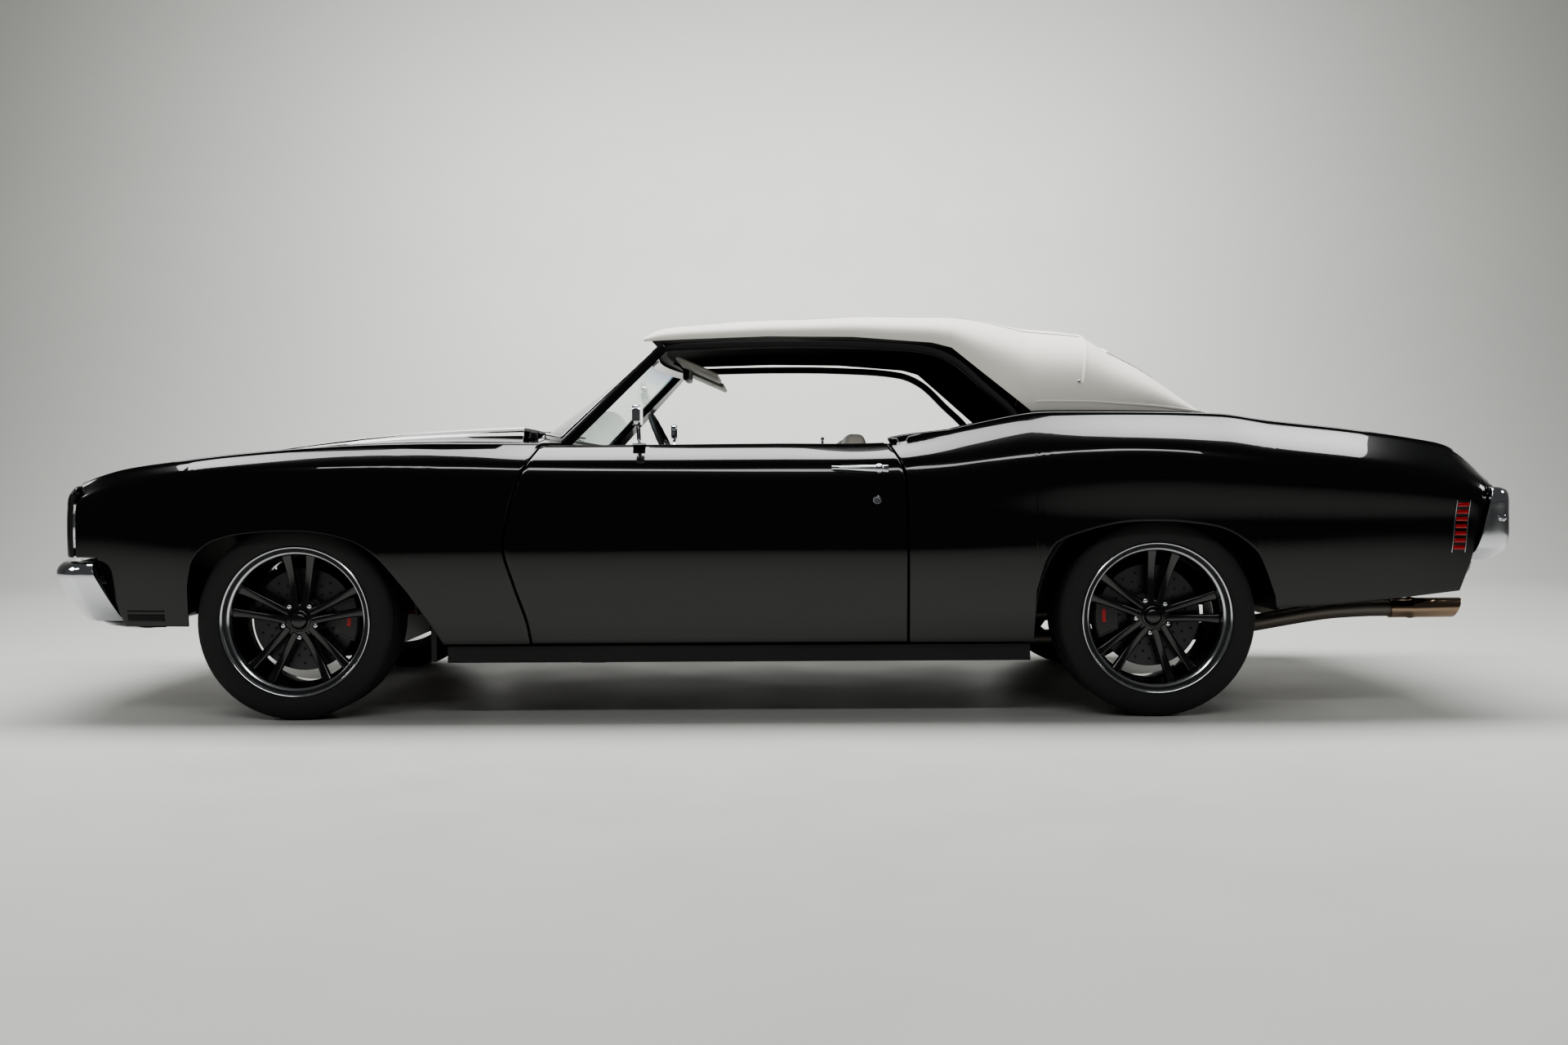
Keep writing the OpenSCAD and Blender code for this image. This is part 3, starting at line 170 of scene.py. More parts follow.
def outward(chunk: Chunk) -> Chunk:
    """Turns a closed chunk's faces so that its volume is positive.

    Args:
        chunk: a closed chunk.

    Returns:
        The chunk, its faces turned if they looked inward.
    """
    p, f = chunk
    c = p.mean(0)
    a, b, d = p[f[:, 0]] - c, p[f[:, 1]] - c, p[f[:, 2]] - c
    e = p[f[:, -1]] - c
    v = np.einsum("ij,ij->i", np.cross(a, b), d).sum() + np.einsum("ij,ij->i", np.cross(a, d), e).sum()
    return (p, f[:, ::-1]) if v < 0 else chunk


def merged(*chunks: Chunk) -> Chunk:
    """One chunk from several.

    Args:
        chunks: what to join.

    Returns:
        The one chunk.
    """
    points, faces, k = [], [], 0
    for p, f in chunks:
        points.append(p)
        faces.append(f + k)
        k += len(p)
    return np.concatenate(points), np.concatenate(faces)


def mirrored(chunk: Chunk) -> Chunk:
    """The same chunk on the car's other side."""
    p, f = chunk
    return p * [1, -1, 1], f[:, ::-1]


def turned(chunk: Chunk, axis: Rows, degrees: float, about: Rows = (0, 0, 0)) -> Chunk:
    """The same chunk turned about an axis through a point."""
    m = np.array(Matrix.Rotation(math.radians(degrees), 3, Vector(axis)))
    return (chunk[0] - about) @ m.T + about, chunk[1]


def rolled(p: Array, normal: Array, r: float) -> Array:
    """Rounds the four borders of a grid with a quarter circle of radius r, bending away from its normal.

    Args:
        p: grid of points.
        normal: outward normal at each point.
        r: radius.

    Returns:
        The grid, with three more rows or columns at each border.
    """
    for axis in (0, 1):
        p, normal = np.moveaxis(p, axis, 0), np.moveaxis(normal, axis, 0)
        ends = []
        for a, b in ((0, 1), (-1, -2)):
            t = unit(p[a] - p[b])
            ends.append([p[a] - r * t * (1 - math.sin(k)) - r * (1 - math.cos(k)) * normal[a]
                         for k in (0, math.pi / 6, math.pi / 3, math.pi / 2)])
        p = np.concatenate([np.stack(ends[0][::-1]), p[1:-1], np.stack(ends[1])])
        normal = np.concatenate([normal[:1].repeat(4, 0), normal[1:-1], normal[-1:].repeat(4, 0)])
        p, normal = np.moveaxis(p, 0, axis), np.moveaxis(normal, 0, axis)
    return p


def shell(outer: Array, inner: Array, roll: float = 2.5, holes: Array | None = None) -> tuple[Chunk, Chunk]:
    """A wall between two grids: the outer face with rolled borders, and the back with the sides.

    Args:
        outer, inner: grids of the same size.
        roll: radius of the outer borders.
        holes: True for each cell that is open.

    Returns:
        (face chunk, back chunk).
    """
    normal = unit(np.cross(np.gradient(outer, axis=0), np.gradient(outer, axis=1)))
    if (normal * (outer - inner)).sum() < 0:
        outer, inner, normal = outer[::-1], inner[::-1], -normal[::-1]
        holes = None if holes is None else holes[::-1]
    face = rolled(outer, normal, roll)
    back = np.pad(inner, ((3, 3), (3, 3), (0, 0)), mode="edge")
    n, m = face.shape[:2]
    keep = np.ones((n - 1, m - 1), bool)
    if holes is not None:
        keep[3:-3, 3:-3] &= ~holes
    i, j = np.nonzero(keep)
    quad = np.stack([i * m + j, (i + 1) * m + j, (i + 1) * m + j + 1, i * m + j + 1], 1)
    around = np.pad(keep, 1)
    sides = []
    for di, dj, k0, k1 in ((0, -1, 0, 1), (1, 0, 1, 2), (0, 1, 2, 3), (-1, 0, 3, 0)):
        open_ = ~around[1 + i + di, 1 + j + dj]
        a, b = quad[open_, k0], quad[open_, k1]
        sides.append(np.stack([b, a, a + n * m, b + n * m], 1))
    q = np.concatenate([face.reshape(-1, 3), back.reshape(-1, 3)])
    return (q[:n * m], quad), (q, np.concatenate([quad[:, ::-1] + n * m] + sides))


def wall(outer: Array, inner: Array, **options) -> Chunk:
    """A shell as one chunk."""
    return merged(*shell(outer, inner, **options))


def block(low: Rows, high: Rows, r: float = 2.0) -> Chunk:
    """A box with rounded edges: a cube's cell corners pushed out from a smaller box by r.

    Args:
        low, high: corners.
        r: radius of the edges.

    Returns:
        The chunk.
    """
    low, high = np.asarray(low, float), np.asarray(high, float)
    r = min(r, (high - low).min() / 2 - 0.01)
    s = np.array([-1, -math.cos(math.pi / 4), 0, 0, math.cos(math.pi / 4), 1.0])
    side = np.array([0, 0, 0, 1, 1, 1])
    out = []
    for k in range(3):
        for end in (0, 1):
            u, v = np.meshgrid(np.arange(6), np.arange(6), indexing="ij")
            a, b = (k + 1) % 3, (k + 2) % 3
            d = np.zeros(u.shape + (3,))
            d[..., a], d[..., b], d[..., k] = s[u], s[v], (1 if end else -1)
            corner = np.zeros_like(d)
            corner[..., a] = mix(low[a] + r, high[a] - r, side[u])
            corner[..., b] = mix(low[b] + r, high[b] - r, side[v])
            corner[..., k] = high[k] - r if end else low[k] + r
            out.append(grid(corner + r * unit(d), facing=np.eye(3)[k] * (1 if end else -1)))
    return merged(*out)


def revolve(profile: Rows, centre: Rows, axis: Rows, n: int = 64, start: float = 0.0) -> Chunk:
    """A solid of revolution: profile rows of (radius, distance along the axis).

    Args:
        profile: rows of (radius, distance along the axis).
        centre, axis: where it stands.
        n: steps round.
        start: angle of the first step.

    Returns:
        The chunk.
    """
    p = np.asarray(profile, float)
    w = unit(np.asarray(axis, float))
    u = unit(np.cross(w, [0.3, 0.2, 1.0] if abs(w[2]) < 0.9 else [1.0, 0, 0]))
    v = np.cross(w, u)
    a = np.linspace(0, 2 * math.pi, n, endpoint=False) + start
    ring = np.cos(a)[:, None] * u + np.sin(a)[:, None] * v
    q = np.asarray(centre, float) + p[None, :, 0, None] * ring[:, None] + p[None, :, 1, None] * w
    return outward(grid(q, close_u=True))


def disc(radius: float, thick: float, centre: Rows, axis: Rows, n: int = 48, edge: float = 0.8) -> Chunk:
    """A round plate with softened rims, from centre along axis.

    Args:
        radius, thick: its size.
        centre, axis: where it stands.
        n: steps round.
        edge: how far the rims are softened.

    Returns:
        The chunk.
    """
    e = min(edge, thick / 3, radius / 3)
    profile = [(0, 0), (radius - e, 0), (radius, e), (radius, thick - e), (radius - e, thick), (0, thick)]
    return revolve(profile, centre, axis, n)


def sweep(path: Rows, ring: Rows, up: Rows = (0, 0, 1)) -> Chunk:
    """A section carried along a path: ring rows are (sideways, up) offsets, or one such list a station.

    Args:
        path: points in order.
        ring: (sideways, up) offsets, or one such list a station.
        up: which way the section stands up.

    Returns:
        The closed chunk.
    """
    p = np.asarray(path, float)
    d = unit(np.gradient(p, axis=0))
    side = unit(np.cross(d, np.asarray(up, float)))
    top = np.cross(side, d)
    r = np.asarray(ring, float)
    r = np.broadcast_to(r, (len(p),) + r.shape[-2:])
    q = p[:, None] + r[..., :1] * side[:, None] + r[..., 1:] * top[:, None]
    ends = [np.broadcast_to(q[k].mean(0), q[k].shape) for k in (0, -1)]
    return outward(grid(np.concatenate([ends[0][None], q, ends[1][None]]), close_v=True))


def circle(r: float, n: int = 16, squash: float = 1.0) -> Array:
    """Points of a circle or an oval."""
    a = np.linspace(0, 2 * math.pi, n, endpoint=False)
    return np.stack([r * np.cos(a), r * squash * np.sin(a)], 1)


def rounded(w: float, h: float, r: float, n: int = 5) -> Array:
    """Outline of a rounded rectangle.

    Args:
        w, h: width and height.
        r: corner radius.
        n: points a corner.

    Returns:
        The points in order.
    """
    a = np.linspace(0, math.pi / 2, n)
    r = min(r, w / 2, h / 2)
    return np.concatenate([np.stack([cx + r * np.cos(a + k * math.pi / 2),
                                     cy + r * np.sin(a + k * math.pi / 2)], 1)
                           for k, (cx, cy) in enumerate(((w / 2 - r, h / 2 - r), (r - w / 2, h / 2 - r),
                                                         (r - w / 2, r - h / 2), (w / 2 - r, r - h / 2)))])


def plate(outline: Rows, low: float, high: float, edge: float = 1.0) -> Chunk:
    """A flat piece: an outline of (u, v) points along w from low to high, with softened rims.

    Args:
        outline: (u, v) points in order.
        low, high: its two faces along w.
        edge: how far the rims are softened.

    Returns:
        The closed chunk.
    """
    o = np.asarray(outline, float)
    c = o.mean(0)
    small = c + (o - c) * (1 - edge / np.linalg.norm(o - c, axis=1, keepdims=True))
    rows = [(c + 0 * o, low), (small, low), (o, low + edge), (o, high - edge), (small, high),
            (c + 0 * o, high)]
    q = np.stack([np.concatenate([a, np.full((len(a), 1), h)], 1) for a, h in rows])
    return outward(grid(q, close_v=True))


# ---------------------------------------------------------------- finishes
def colour(hex_: str) -> tuple[float, ...]:
    """sRGB hex to the linear colour that shaders use."""
    c = np.array([int(hex_[k:k + 2], 16) for k in (1, 3, 5)]) / 255
    return tuple(np.where(c <= 0.04045, c / 12.92, ((c + 0.055) / 1.055) ** 2.4)) + (1.0,)


def node(tree: bpy.types.NodeTree, kind: str, inputs: dict | tuple = (), **settings) -> bpy.types.Node:
    """Adds a shader node: settings are its properties, inputs its values or the sockets that feed it.

    Args:
        tree: where it goes.
        kind: its type.
        inputs: values or sockets by input.
        settings: its properties.

    Returns:
        The node.
    """
    n = tree.nodes.new(kind)
    for k, v in settings.items():
        setattr(n, k, v)
    for k, v in dict(inputs).items():
        if isinstance(v, bpy.types.NodeSocket):
            tree.links.new(v, n.inputs[k])
        else:
            n.inputs[k].default_value = v
    return n


class Pattern(Enum):
    """What varies over a surface."""

    PLAIN = "plain"
    GRAIN = "grain"
    WEAVE = "weave"
    STRIPES = "stripes"
    TINT = "tint"
    FLUTES = "flutes"
    BRUSHED = "brushed"


@dataclass(frozen=True)
class Finish:
    """One real material, with its values and the size of its grain in mm."""

    name: str
    hex_: str
    rough: float = 0.4
    metal: float = 0.0
    coat: float = 0.0
    clear: float = 0.0
    pattern: Pattern = Pattern.PLAIN
    size: float = 1.0
    depth: float = 0.0
    second: str = "#ffffff"
    sheen: float = 0.0
    shine: float = 0.5

    def material(self) -> bpy.types.Material:
        """Makes the material once and returns it.

        Returns:
            The material.
        """
        found = bpy.data.materials.get(self.name)
        if found:
            return found
        m = bpy.data.materials.new(self.name)
        m.use_nodes = True
        t = m.node_tree
        b = t.nodes["Principled BSDF"]
        for k, v in {"Base Color": colour(self.hex_), "Roughness": self.rough, "Metallic": self.metal,
                     "Coat Weight": self.coat, "Coat Roughness": 0.02, "Transmission Weight": self.clear,
                     "Sheen Weight": self.sheen, "Specular IOR Level": self.shine}.items():
            b.inputs[k].default_value = v
        place = node(t, "ShaderNodeTexCoord").outputs["Object"]
        self.dress(t, b, place)
        m.diffuse_color = colour(self.hex_)
        return m

    def dress(self, t: bpy.types.NodeTree, b: bpy.types.Node, place: bpy.types.NodeSocket) -> None:
        """Adds what varies: uneven gloss on all, and the pattern of this finish.

        Args:
            t, b: the node tree and its main shader.
            place: the place on the surface.
        """
        if self.clear == 0:
            cloud = node(t, "ShaderNodeTexNoise", {"Vector": place, "Scale": 3.2, "Detail": 5.0})
            uneven = node(t, "ShaderNodeMapRange", {"Value": cloud.outputs["Fac"], "To Min": self.rough * 0.8,
                                                    "To Max": self.rough * 1.25})
            t.links.new(uneven.outputs[0], b.inputs["Roughness"])
        if self.pattern in (Pattern.GRAIN, Pattern.WEAVE, Pattern.BRUSHED):
            scale = {Pattern.BRUSHED: (1, 0.04, 1)}.get(self.pattern, (1, 1, 1))
            at = node(t, "ShaderNodeMapping", {"Vector": place, "Scale": scale}).outputs[0]
            kind = "ShaderNodeTexVoronoi" if self.pattern == Pattern.GRAIN else "ShaderNodeTexNoise"
            tex = node(t, kind, {"Vector": at, "Scale": 1000 / self.size})
            height = tex.outputs["Distance" if self.pattern == Pattern.GRAIN else "Fac"]
            bump = node(t, "ShaderNodeBump", {"Height": height, "Distance": self.depth * MM, "Strength": 0.7})
            t.links.new(bump.outputs[0], b.inputs["Normal"])
        xyz_ = node(t, "ShaderNodeSeparateXYZ", {"Vector": place})
        if self.pattern == Pattern.STRIPES:
            side = node(t, "ShaderNodeMath", {0: xyz_.outputs["Y"]}, operation="ABSOLUTE").outputs[0]
            parts = []
            for low, high in WHITE_BANDS:
                over = node(t, "ShaderNodeMath", {0: side, 1: low}, operation="GREATER_THAN").outputs[0]
                under = node(t, "ShaderNodeMath", {0: side, 1: high}, operation="LESS_THAN").outputs[0]
                parts.append(node(t, "ShaderNodeMath", {0: over, 1: under}, operation="MULTIPLY").outputs[0])
            band = node(t, "ShaderNodeMath", {0: parts[0], 1: parts[1]}, operation="ADD").outputs[0]
            self.blend(t, b, band)
        if self.pattern == Pattern.TINT:
            up = node(t, "ShaderNodeMapRange", {"Value": xyz_.outputs["Z"], "From Min": SHADE[0],
                                                "From Max": SHADE[1]})
            self.blend(t, b, up.outputs[0])
        if self.pattern == Pattern.FLUTES:
            wave = node(t, "ShaderNodeTexWave", {"Vector": place, "Scale": 1000 / self.size / 6.3},
                        bands_direction="Y")
            bump = node(t, "ShaderNodeBump", {"Height": wave.outputs["Fac"], "Distance": self.depth * MM})
            t.links.new(bump.outputs[0], b.inputs["Normal"])

    def blend(self, t: bpy.types.NodeTree, b: bpy.types.Node, share: bpy.types.NodeSocket) -> None:
        """Base colour goes from hex_ to second by share.

        Args:
            t, b: the node tree and its main shader.
            share: 0 for hex_, 1 for second.
        """
        c = node(t, "ShaderNodeMix", {"Factor": share}, data_type="RGBA")
        c.inputs[6].default_value, c.inputs[7].default_value = colour(self.hex_), colour(self.second)
        t.links.new(c.outputs[2], b.inputs["Base Color"])


# Wet-looking black enamel: nearly all that is seen is the sharp reflection in the clear coat
PAINT = Finish("black_enamel", "#030304", rough=0.2, coat=1.0, shine=0.1)
# The same enamel with two white bands and a thin line outside each, on the hood
STRIPED = Finish("black_enamel_white_bands", "#030304", rough=0.2, coat=1.0, pattern=Pattern.STRIPES,
                 second="#f1f0ec", shine=0.1)
# Mirror-bright plating, slightly clouded
CHROME = Finish("chrome_plate", "#d3d5d8", rough=0.06, metal=1.0)
# Turned and polished rim lip, as plain bright metal
POLISHED = Finish("polished_aluminium", "#cfd1d4", rough=0.14, metal=1.0)
# Gloss black on the cast spokes
SPOKE = Finish("black_wheel_enamel", "#0a0a0b", rough=0.25, coat=0.7)
# Blued and browned stainless steel at the exhaust's end
BRONZED = Finish("heat_tinted_steel", "#93806e", rough=0.16, metal=1.0, pattern=Pattern.BRUSHED, size=6,
                 depth=0.05)
# Dull pipe and muffler steel
PIPE = Finish("aluminised_steel", "#77716b", rough=0.45, metal=1.0, pattern=Pattern.WEAVE, size=30, depth=0.4)
# Cut disc faces with fine turning marks
DISC = Finish("turned_iron_disc", "#4c4c4e", rough=0.34, metal=1.0, pattern=Pattern.BRUSHED, size=1.2,
              depth=0.05)
# Rough cast parts under the car
CAST = Finish("cast_iron", "#3b3b3d", rough=0.6, metal=0.6, pattern=Pattern.WEAVE, size=5, depth=0.3)
# Engine block paint over a rough casting
BLOCK = Finish("engine_enamel", "#8d3420", rough=0.4, pattern=Pattern.WEAVE, size=5, depth=0.3)
# Satin chassis black that hides the frame and the wheel wells
SATIN = Finish("satin_chassis_black", "#101011", rough=0.55, pattern=Pattern.WEAVE, size=8, depth=0.1)
# White vinyl-coated top cloth with a fine pebble and a dry sheen
CLOTH = Finish("white_top_vinyl", "#ece9e0", rough=0.62, pattern=Pattern.WEAVE, size=2.2, depth=0.12,
               sheen=0.15)
# Black inner lining of the top
LINING = Finish("black_lining_cloth", "#131314", rough=0.9, pattern=Pattern.WEAVE, size=1.5, depth=0.2,
                sheen=0.2)
# Off-white seat vinyl with a leather grain
VINYL = Finish("off_white_seat_vinyl", "#d9d5ca", rough=0.42, pattern=Pattern.GRAIN, size=2.4, depth=0.15)
# Black grained dash padding
DASH = Finish("black_grained_padding", "#0d0d0e", rough=0.55, pattern=Pattern.GRAIN, size=2, depth=0.15)
# Black cut-pile carpet
CARPET = Finish("black_loop_carpet", "#0c0c0d", rough=0.95, pattern=Pattern.WEAVE, size=3, depth=1.5,
                sheen=0.3)
# Rubber of tyres: dark grey, dry, with a faint shine on the walls
RUBBER = Finish("tyre_rubber", "#121213", rough=0.52, pattern=Pattern.WEAVE, size=1.5, depth=0.05)
# Weatherstrip and seals
SEAL = Finish("seal_rubber", "#0a0a0a", rough=0.6)
# Faintly green laminated glass with a blue shade along the top
SHIELD = Finish("laminated_glass", "#e8f2ee", rough=0.0, clear=1.0, pattern=Pattern.TINT, second="#3f78a8")
# Slightly smoky clear vinyl of the rear window
WINDOW = Finish("clear_window_vinyl", "#c9d2d3", rough=0.03, clear=1.0)
# Fluted glass of the headlamps
LENS = Finish("fluted_lamp_glass", "#f4f6f6", rough=0.02, clear=0.85, pattern=Pattern.FLUTES, size=7,
              depth=0.6)
# Red moulded lenses
RED = Finish("red_lamp_plastic", "#a3070c", rough=0.12, coat=0.6, pattern=Pattern.FLUTES, size=5, depth=0.4)
# Red enamel on the brake calipers
ACCENT = Finish("red_caliper_enamel", "#b3121a", rough=0.3, coat=0.5)
# Flat mirror glass
MIRROR = Finish("silvered_glass", "#e6e9ea", rough=0.0, metal=1.0)
# Moulded black grille plastic
PLASTIC = Finish("satin_black_plastic", "#0b0b0c", rough=0.4)
# Dark dial faces
DIAL = Finish("dial_face", "#16181a", rough=0.5)


def piece(name: str, body: str, dressed: Parts, replaces: Rows = (),
          sharp: float = 38) -> bpy.types.Object:
    """Makes one mesh piece.

    Args:
        name: its name.
        body: the CAD body that it rides on.
        dressed: (finish, chunk) pairs.
        replaces: CAD nodes that it stands for.
        sharp: edges over this angle stay sharp.

    Returns:
        The object, in place.
    """
    points = np.concatenate([c[0] for _, c in dressed]) * MM
    faces, kind, k = [], [], 0
    for i, (_, (p, f)) in enumerate(dressed):
        faces += (f + k).tolist()
        kind += [i] * len(f)
        k += len(p)
    me = bpy.data.meshes.new(name)
    me.from_pydata(points.tolist(), [], faces)
    for finish, _ in dressed:
        me.materials.append(finish.material())
    me.polygons.foreach_set("material_index", kind)
    bm = bmesh.new()
    bm.from_mesh(me)
    bmesh.ops.remove_doubles(bm, verts=bm.verts, dist=2e-5)
    bmesh.ops.dissolve_degenerate(bm, dist=1e-6, edges=bm.edges)
    bm.to_mesh(me)
    bm.free()
    me.shade_smooth()
    me.set_sharp_from_angle(angle=math.radians(sharp))
    o = bpy.data.objects.new(name, me)
    bpy.context.scene.collection.objects.link(o)
    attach(o, body)
    if replaces:
        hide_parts(*replaces)
    log.info("%s: %d faces", name, len(me.polygons))
    return o


# ---------------------------------------------------------------- the body's lines
@dataclass
class Lines:
    """The lines that shape the body, as [station or height, value] in mm."""

    belt_z = [[-2330, 752], [-2283, 783], [-2230, 806], [-2150, 828], [-2000, 849], [-1770, 876],
              [-1450, 900], [-1160, 907], [-770, 905], [0, 908], [400, 910], [550, 936], [670, 964],
              [860, 1000], [980, 1005], [1500, 996], [1660, 974], [1940, 943], [2220, 902], [2300, 880],
              [2370, 829], [2430, 776], [2460, 748]]
    belt_w = [[-2330, 796], [-2200, 826], [-1900, 850], [-1500, 858], [-1000, 848], [-770, 830],
              [0, 816], [700, 816], [1000, 820], [1400, 816], [1800, 797], [2200, 766], [2460, 722]]
    shoulder_z = [[-2330, 715], [-2150, 775], [-1900, 812], [-1500, 832], [-1000, 838], [0, 836],
                  [560, 842], [850, 866], [1130, 882], [1340, 878], [1510, 862], [2000, 815], [2300, 770],
                  [2460, 705]]
    shoulder_w = [[-2330, 838], [-2150, 872], [-1900, 898], [-1500, 914], [-1000, 914], [0, 906],
                  [400, 908], [700, 925], [1000, 942], [1300, 948], [1700, 938], [2100, 905], [2460, 850]]
    middle_w = [[-2330, 848], [-2150, 885], [-1900, 915], [-1567, 933], [-1000, 936], [400, 938],
                [900, 946], [1300, 950], [1700, 941], [2100, 910], [2460, 858]]
    crease_w = [[-2330, 842], [-2150, 880], [-1900, 915], [-1567, 938], [-1000, 941], [0, 942],
                [900, 946], [1300, 949], [1700, 938], [2100, 905], [2460, 856]]
    lower_w = [[-2330, 815], [-1900, 885], [-1567, 905], [-1000, 908], [0, 908], [900, 915],
               [1300, 920], [1700, 905], [2100, 872], [2460, 840]]
    sill_w = [[-2330, 780], [-1900, 845], [-1000, 862], [900, 862], [1700, 850], [2460, 800]]
    heights = (182, 370, 534, 640)
    hood_edge = [[-2352, 776], [-2283, 797], [-2150, 834], [-2000, 857], [-1770, 884], [-1450, 909],
                 [-1160, 918], [-860, 916]]
    front_gap = [[200, -780], [323, -798], [453, -838], [583, -867], [787, -822], [895, -765], [930, -748]]
    rear_gap = [[200, 458], [766, 451], [819, 443], [863, 425], [910, 398], [930, 388]]
    fender_low = [[-2300, 541], [-2222, 541], [-2212, 506], [-2140, 311], [-1918, 311], [-1913, 440],
                  [-1895, 520], [-1847, 578], [-1790, 604], [-1722, 618], [-1600, 627], [-1488, 623],
                  [-1400, 605], [-1332, 578], [-1269, 528], [-1184, 421], [-1120, 322], [-1076, 248],
                  [-700, 248]]
    quarter_low = [[440, 248], [870, 248], [874, 418], [900, 516], [935, 573], [1026, 612], [1141, 639],
                   [1238, 645], [1367, 639], [1496, 613], [1593, 541], [1625, 477], [1657, 396],
                   [1664, 357], [1840, 365], [2110, 389], [2282, 408], [2315, 506], [2377, 752], [2500, 752]]
    fender_in = [[-2300, 698], [-874, 698], [-826, 745.6], [-700, 745.6]]
    quarter_in = [[388, 750], [862, 757], [877, 760], [1300, 753], [1478, 712], [1490, 651], [2460, 600]]

    def side(self, x: Rows, z: Rows) -> Array:
        """Half width of the body at station x and height z.

        Args:
            x, z: stations and heights.

        Returns:
            The half widths.
        """
        x, z = np.broadcast_arrays(np.asarray(x, float), np.asarray(z, float))
        kz = np.stack([*(np.full(x.shape, h, float) for h in self.heights), curve(self.shoulder_z, x),
                       curve(self.belt_z, x)], -1)
        kw = np.stack([curve(c, x) for c in (self.sill_w, self.lower_w, self.crease_w, self.middle_w,
                                             self.shoulder_w, self.belt_w)], -1)
        return section(kz, kw, z)

    def low(self, points: Rows, x: Array, arch: tuple[float, float]) -> Array:
        """Lower edge of a panel: a smooth curve over the wheel arch, straight pieces elsewhere.

        Args:
            points: rows of [x, height].
            x: stations.
            arch: where the smooth stretch starts and ends.

        Returns:
            The heights.
        """
        inside = (x > arch[0]) & (x < arch[1])
        smooth = curve([p for p in points if arch[0] - 1 <= p[0] <= arch[1] + 1], x)
        return np.where(inside, smooth, line(points, x))


@dataclass
class Skin(Lines):
    """The painted outer panels."""

    gap: float = 3.5
    lid_gap: float = 9.0
    thick: float = 5.0
    seam: float = 0.7
    hump_high: float = 58.0
    hump_half: float = 372.0
    hump_from: float = -2120.0
    hump_run: float = 1215.0
    hood_half: float = 690.0
    hood_back: float = -905.0
    deck_half: float = 650.0

    def panel(self, x: Array, low: Array, inner: Rows, rise: Array, gap_line: Rows, share: Array,
              off: float) -> Array:
        """Rows of a side panel from its lower edge, over the belt and in to the hood or the deck.

        Args:
            x: stations.
            low: lower edge at each station.
            inner: [x, half width] of the top's inner edge.
            rise: height of the inner edge over the belt at each station.
            gap_line: the door gap, [height, station].
            share: how far each station is pulled onto the gap, 0 to 1.
            off: the panel's edge from the gap's middle.

        Returns:
            The grid, one row a station.
        """
        v = np.linspace(0, 1, 40)
        belt = curve(self.belt_z, x)
        z = mix(low[:, None], belt[:, None], v)
        at = mix(x[:, None], curve(gap_line, z) + off, share[:, None])
        side = xyz(at, -self.side(at, z), z)
        top, phi = side[:, -1:], np.radians(np.linspace(0, 90, 8)[1:])
        turn = xyz(top[..., 0], top[..., 1] + 14 * (1 - np.cos(phi)),
                   top[..., 2] + 0.75 * rise[:, None] * np.sin(phi))
        s = np.linspace(0, 1, 8)[1:]
        edge = -line(inner, top[..., 0])
        flat = xyz(top[..., 0], mix(top[..., 1] + 14, edge, s),
                   top[..., 2] + rise[:, None] * (0.75 + 0.25 * np.sin(s * math.pi / 2)))
        return np.concatenate([side, turn, flat], 1)

    def offset(self, rows: Array, t: float) -> Array:
        """The rows moved inward by t along their normals.

        Args:
            rows: a grid.
            t: how far.

        Returns:
            The moved grid.
        """
        n = unit(np.cross(np.gradient(rows, axis=0), np.gradient(rows, axis=1)))
        out = 1 if (n[:, :20] * [0, -1, 0]).sum() > 0 else -1
        return rows - out * t * n

    def fender(self) -> tuple[Chunk, Chunk]:
        """Front fender, left side.

        Returns:
            (face chunk, back chunk).
        """
        x = np.unique(np.concatenate([np.linspace(-2299, -880, 120),
                                      [p[0] for p in self.fender_low if -2299 < p[0] < -1000],
                                      [-2213, -1914]]))
        low = self.low(self.fender_low, x, (-1913, -1184))
        rise = curve(self.hood_edge, x) - curve(self.belt_z, x)
        rows = self.panel(x, low, self.fender_in, rise, self.front_gap, np.clip((x + 1000) / 120, 0, 1),
                          -self.gap)
        return shell(rows, self.offset(rows, self.thick))

    def quarter(self) -> tuple[Chunk, Chunk]:
        """Rear quarter panel, left side.

        Returns:
            (face chunk, back chunk).
        """
        x = np.unique(np.concatenate([np.linspace(470, 2440, 150),
                                      [p[0] for p in self.quarter_low if 560 < p[0] < 2440],
                                      [871, 1478, 1490]]))
        low = self.low(self.quarter_low, x, (900, 1625))
        rows = self.panel(x, low, self.quarter_in, np.full(len(x), 8.0), self.rear_gap,
                          1 - np.clip((x - 470) / 130, 0, 1), self.gap)
        return shell(rows, self.offset(rows, self.thick))

    def door(self) -> tuple[Chunk, Chunk]:
        """Door, left side: painted skin with a thin flange ahead of its hollow front face, and its back.

        Returns:
            (face chunk, back chunk).
        """
        flange = 14 / 1190
        u = np.concatenate([[0, flange, flange + 2e-4], np.linspace(0.03, 1, 88)])[:, None]
        v = np.linspace(0, 1, 46)[None]
        z = mix(250, curve(self.belt_z, mix(-765, 398, u)) - 2, v)
        x = mix(curve(self.front_gap, z) + self.gap, curve(self.rear_gap, z) - self.gap, u)
        rows = xyz(x, -self.side(x, z), z)
        deep = mix(-800, -751.5, ease((z - 690) / 190))
        back = xyz(x - 14 * (u > 0.999), np.where(u > flange + 1e-4, deep, rows[..., 1] + 4), z)
        return shell(rows, back, roll=3)

    def hood_base(self, x: Rows, y: Rows) -> Array:
        """Height of the hood without its dome."""
        return curve(self.hood_edge, x) + 14 * (1 - (y / self.hood_half) ** 2)

    def hood_front(self, y: Rows) -> Array:
        """Station of the hood's front edge at a half width."""
        return mix(-2352, -2306, (y / self.hood_half) ** 2)

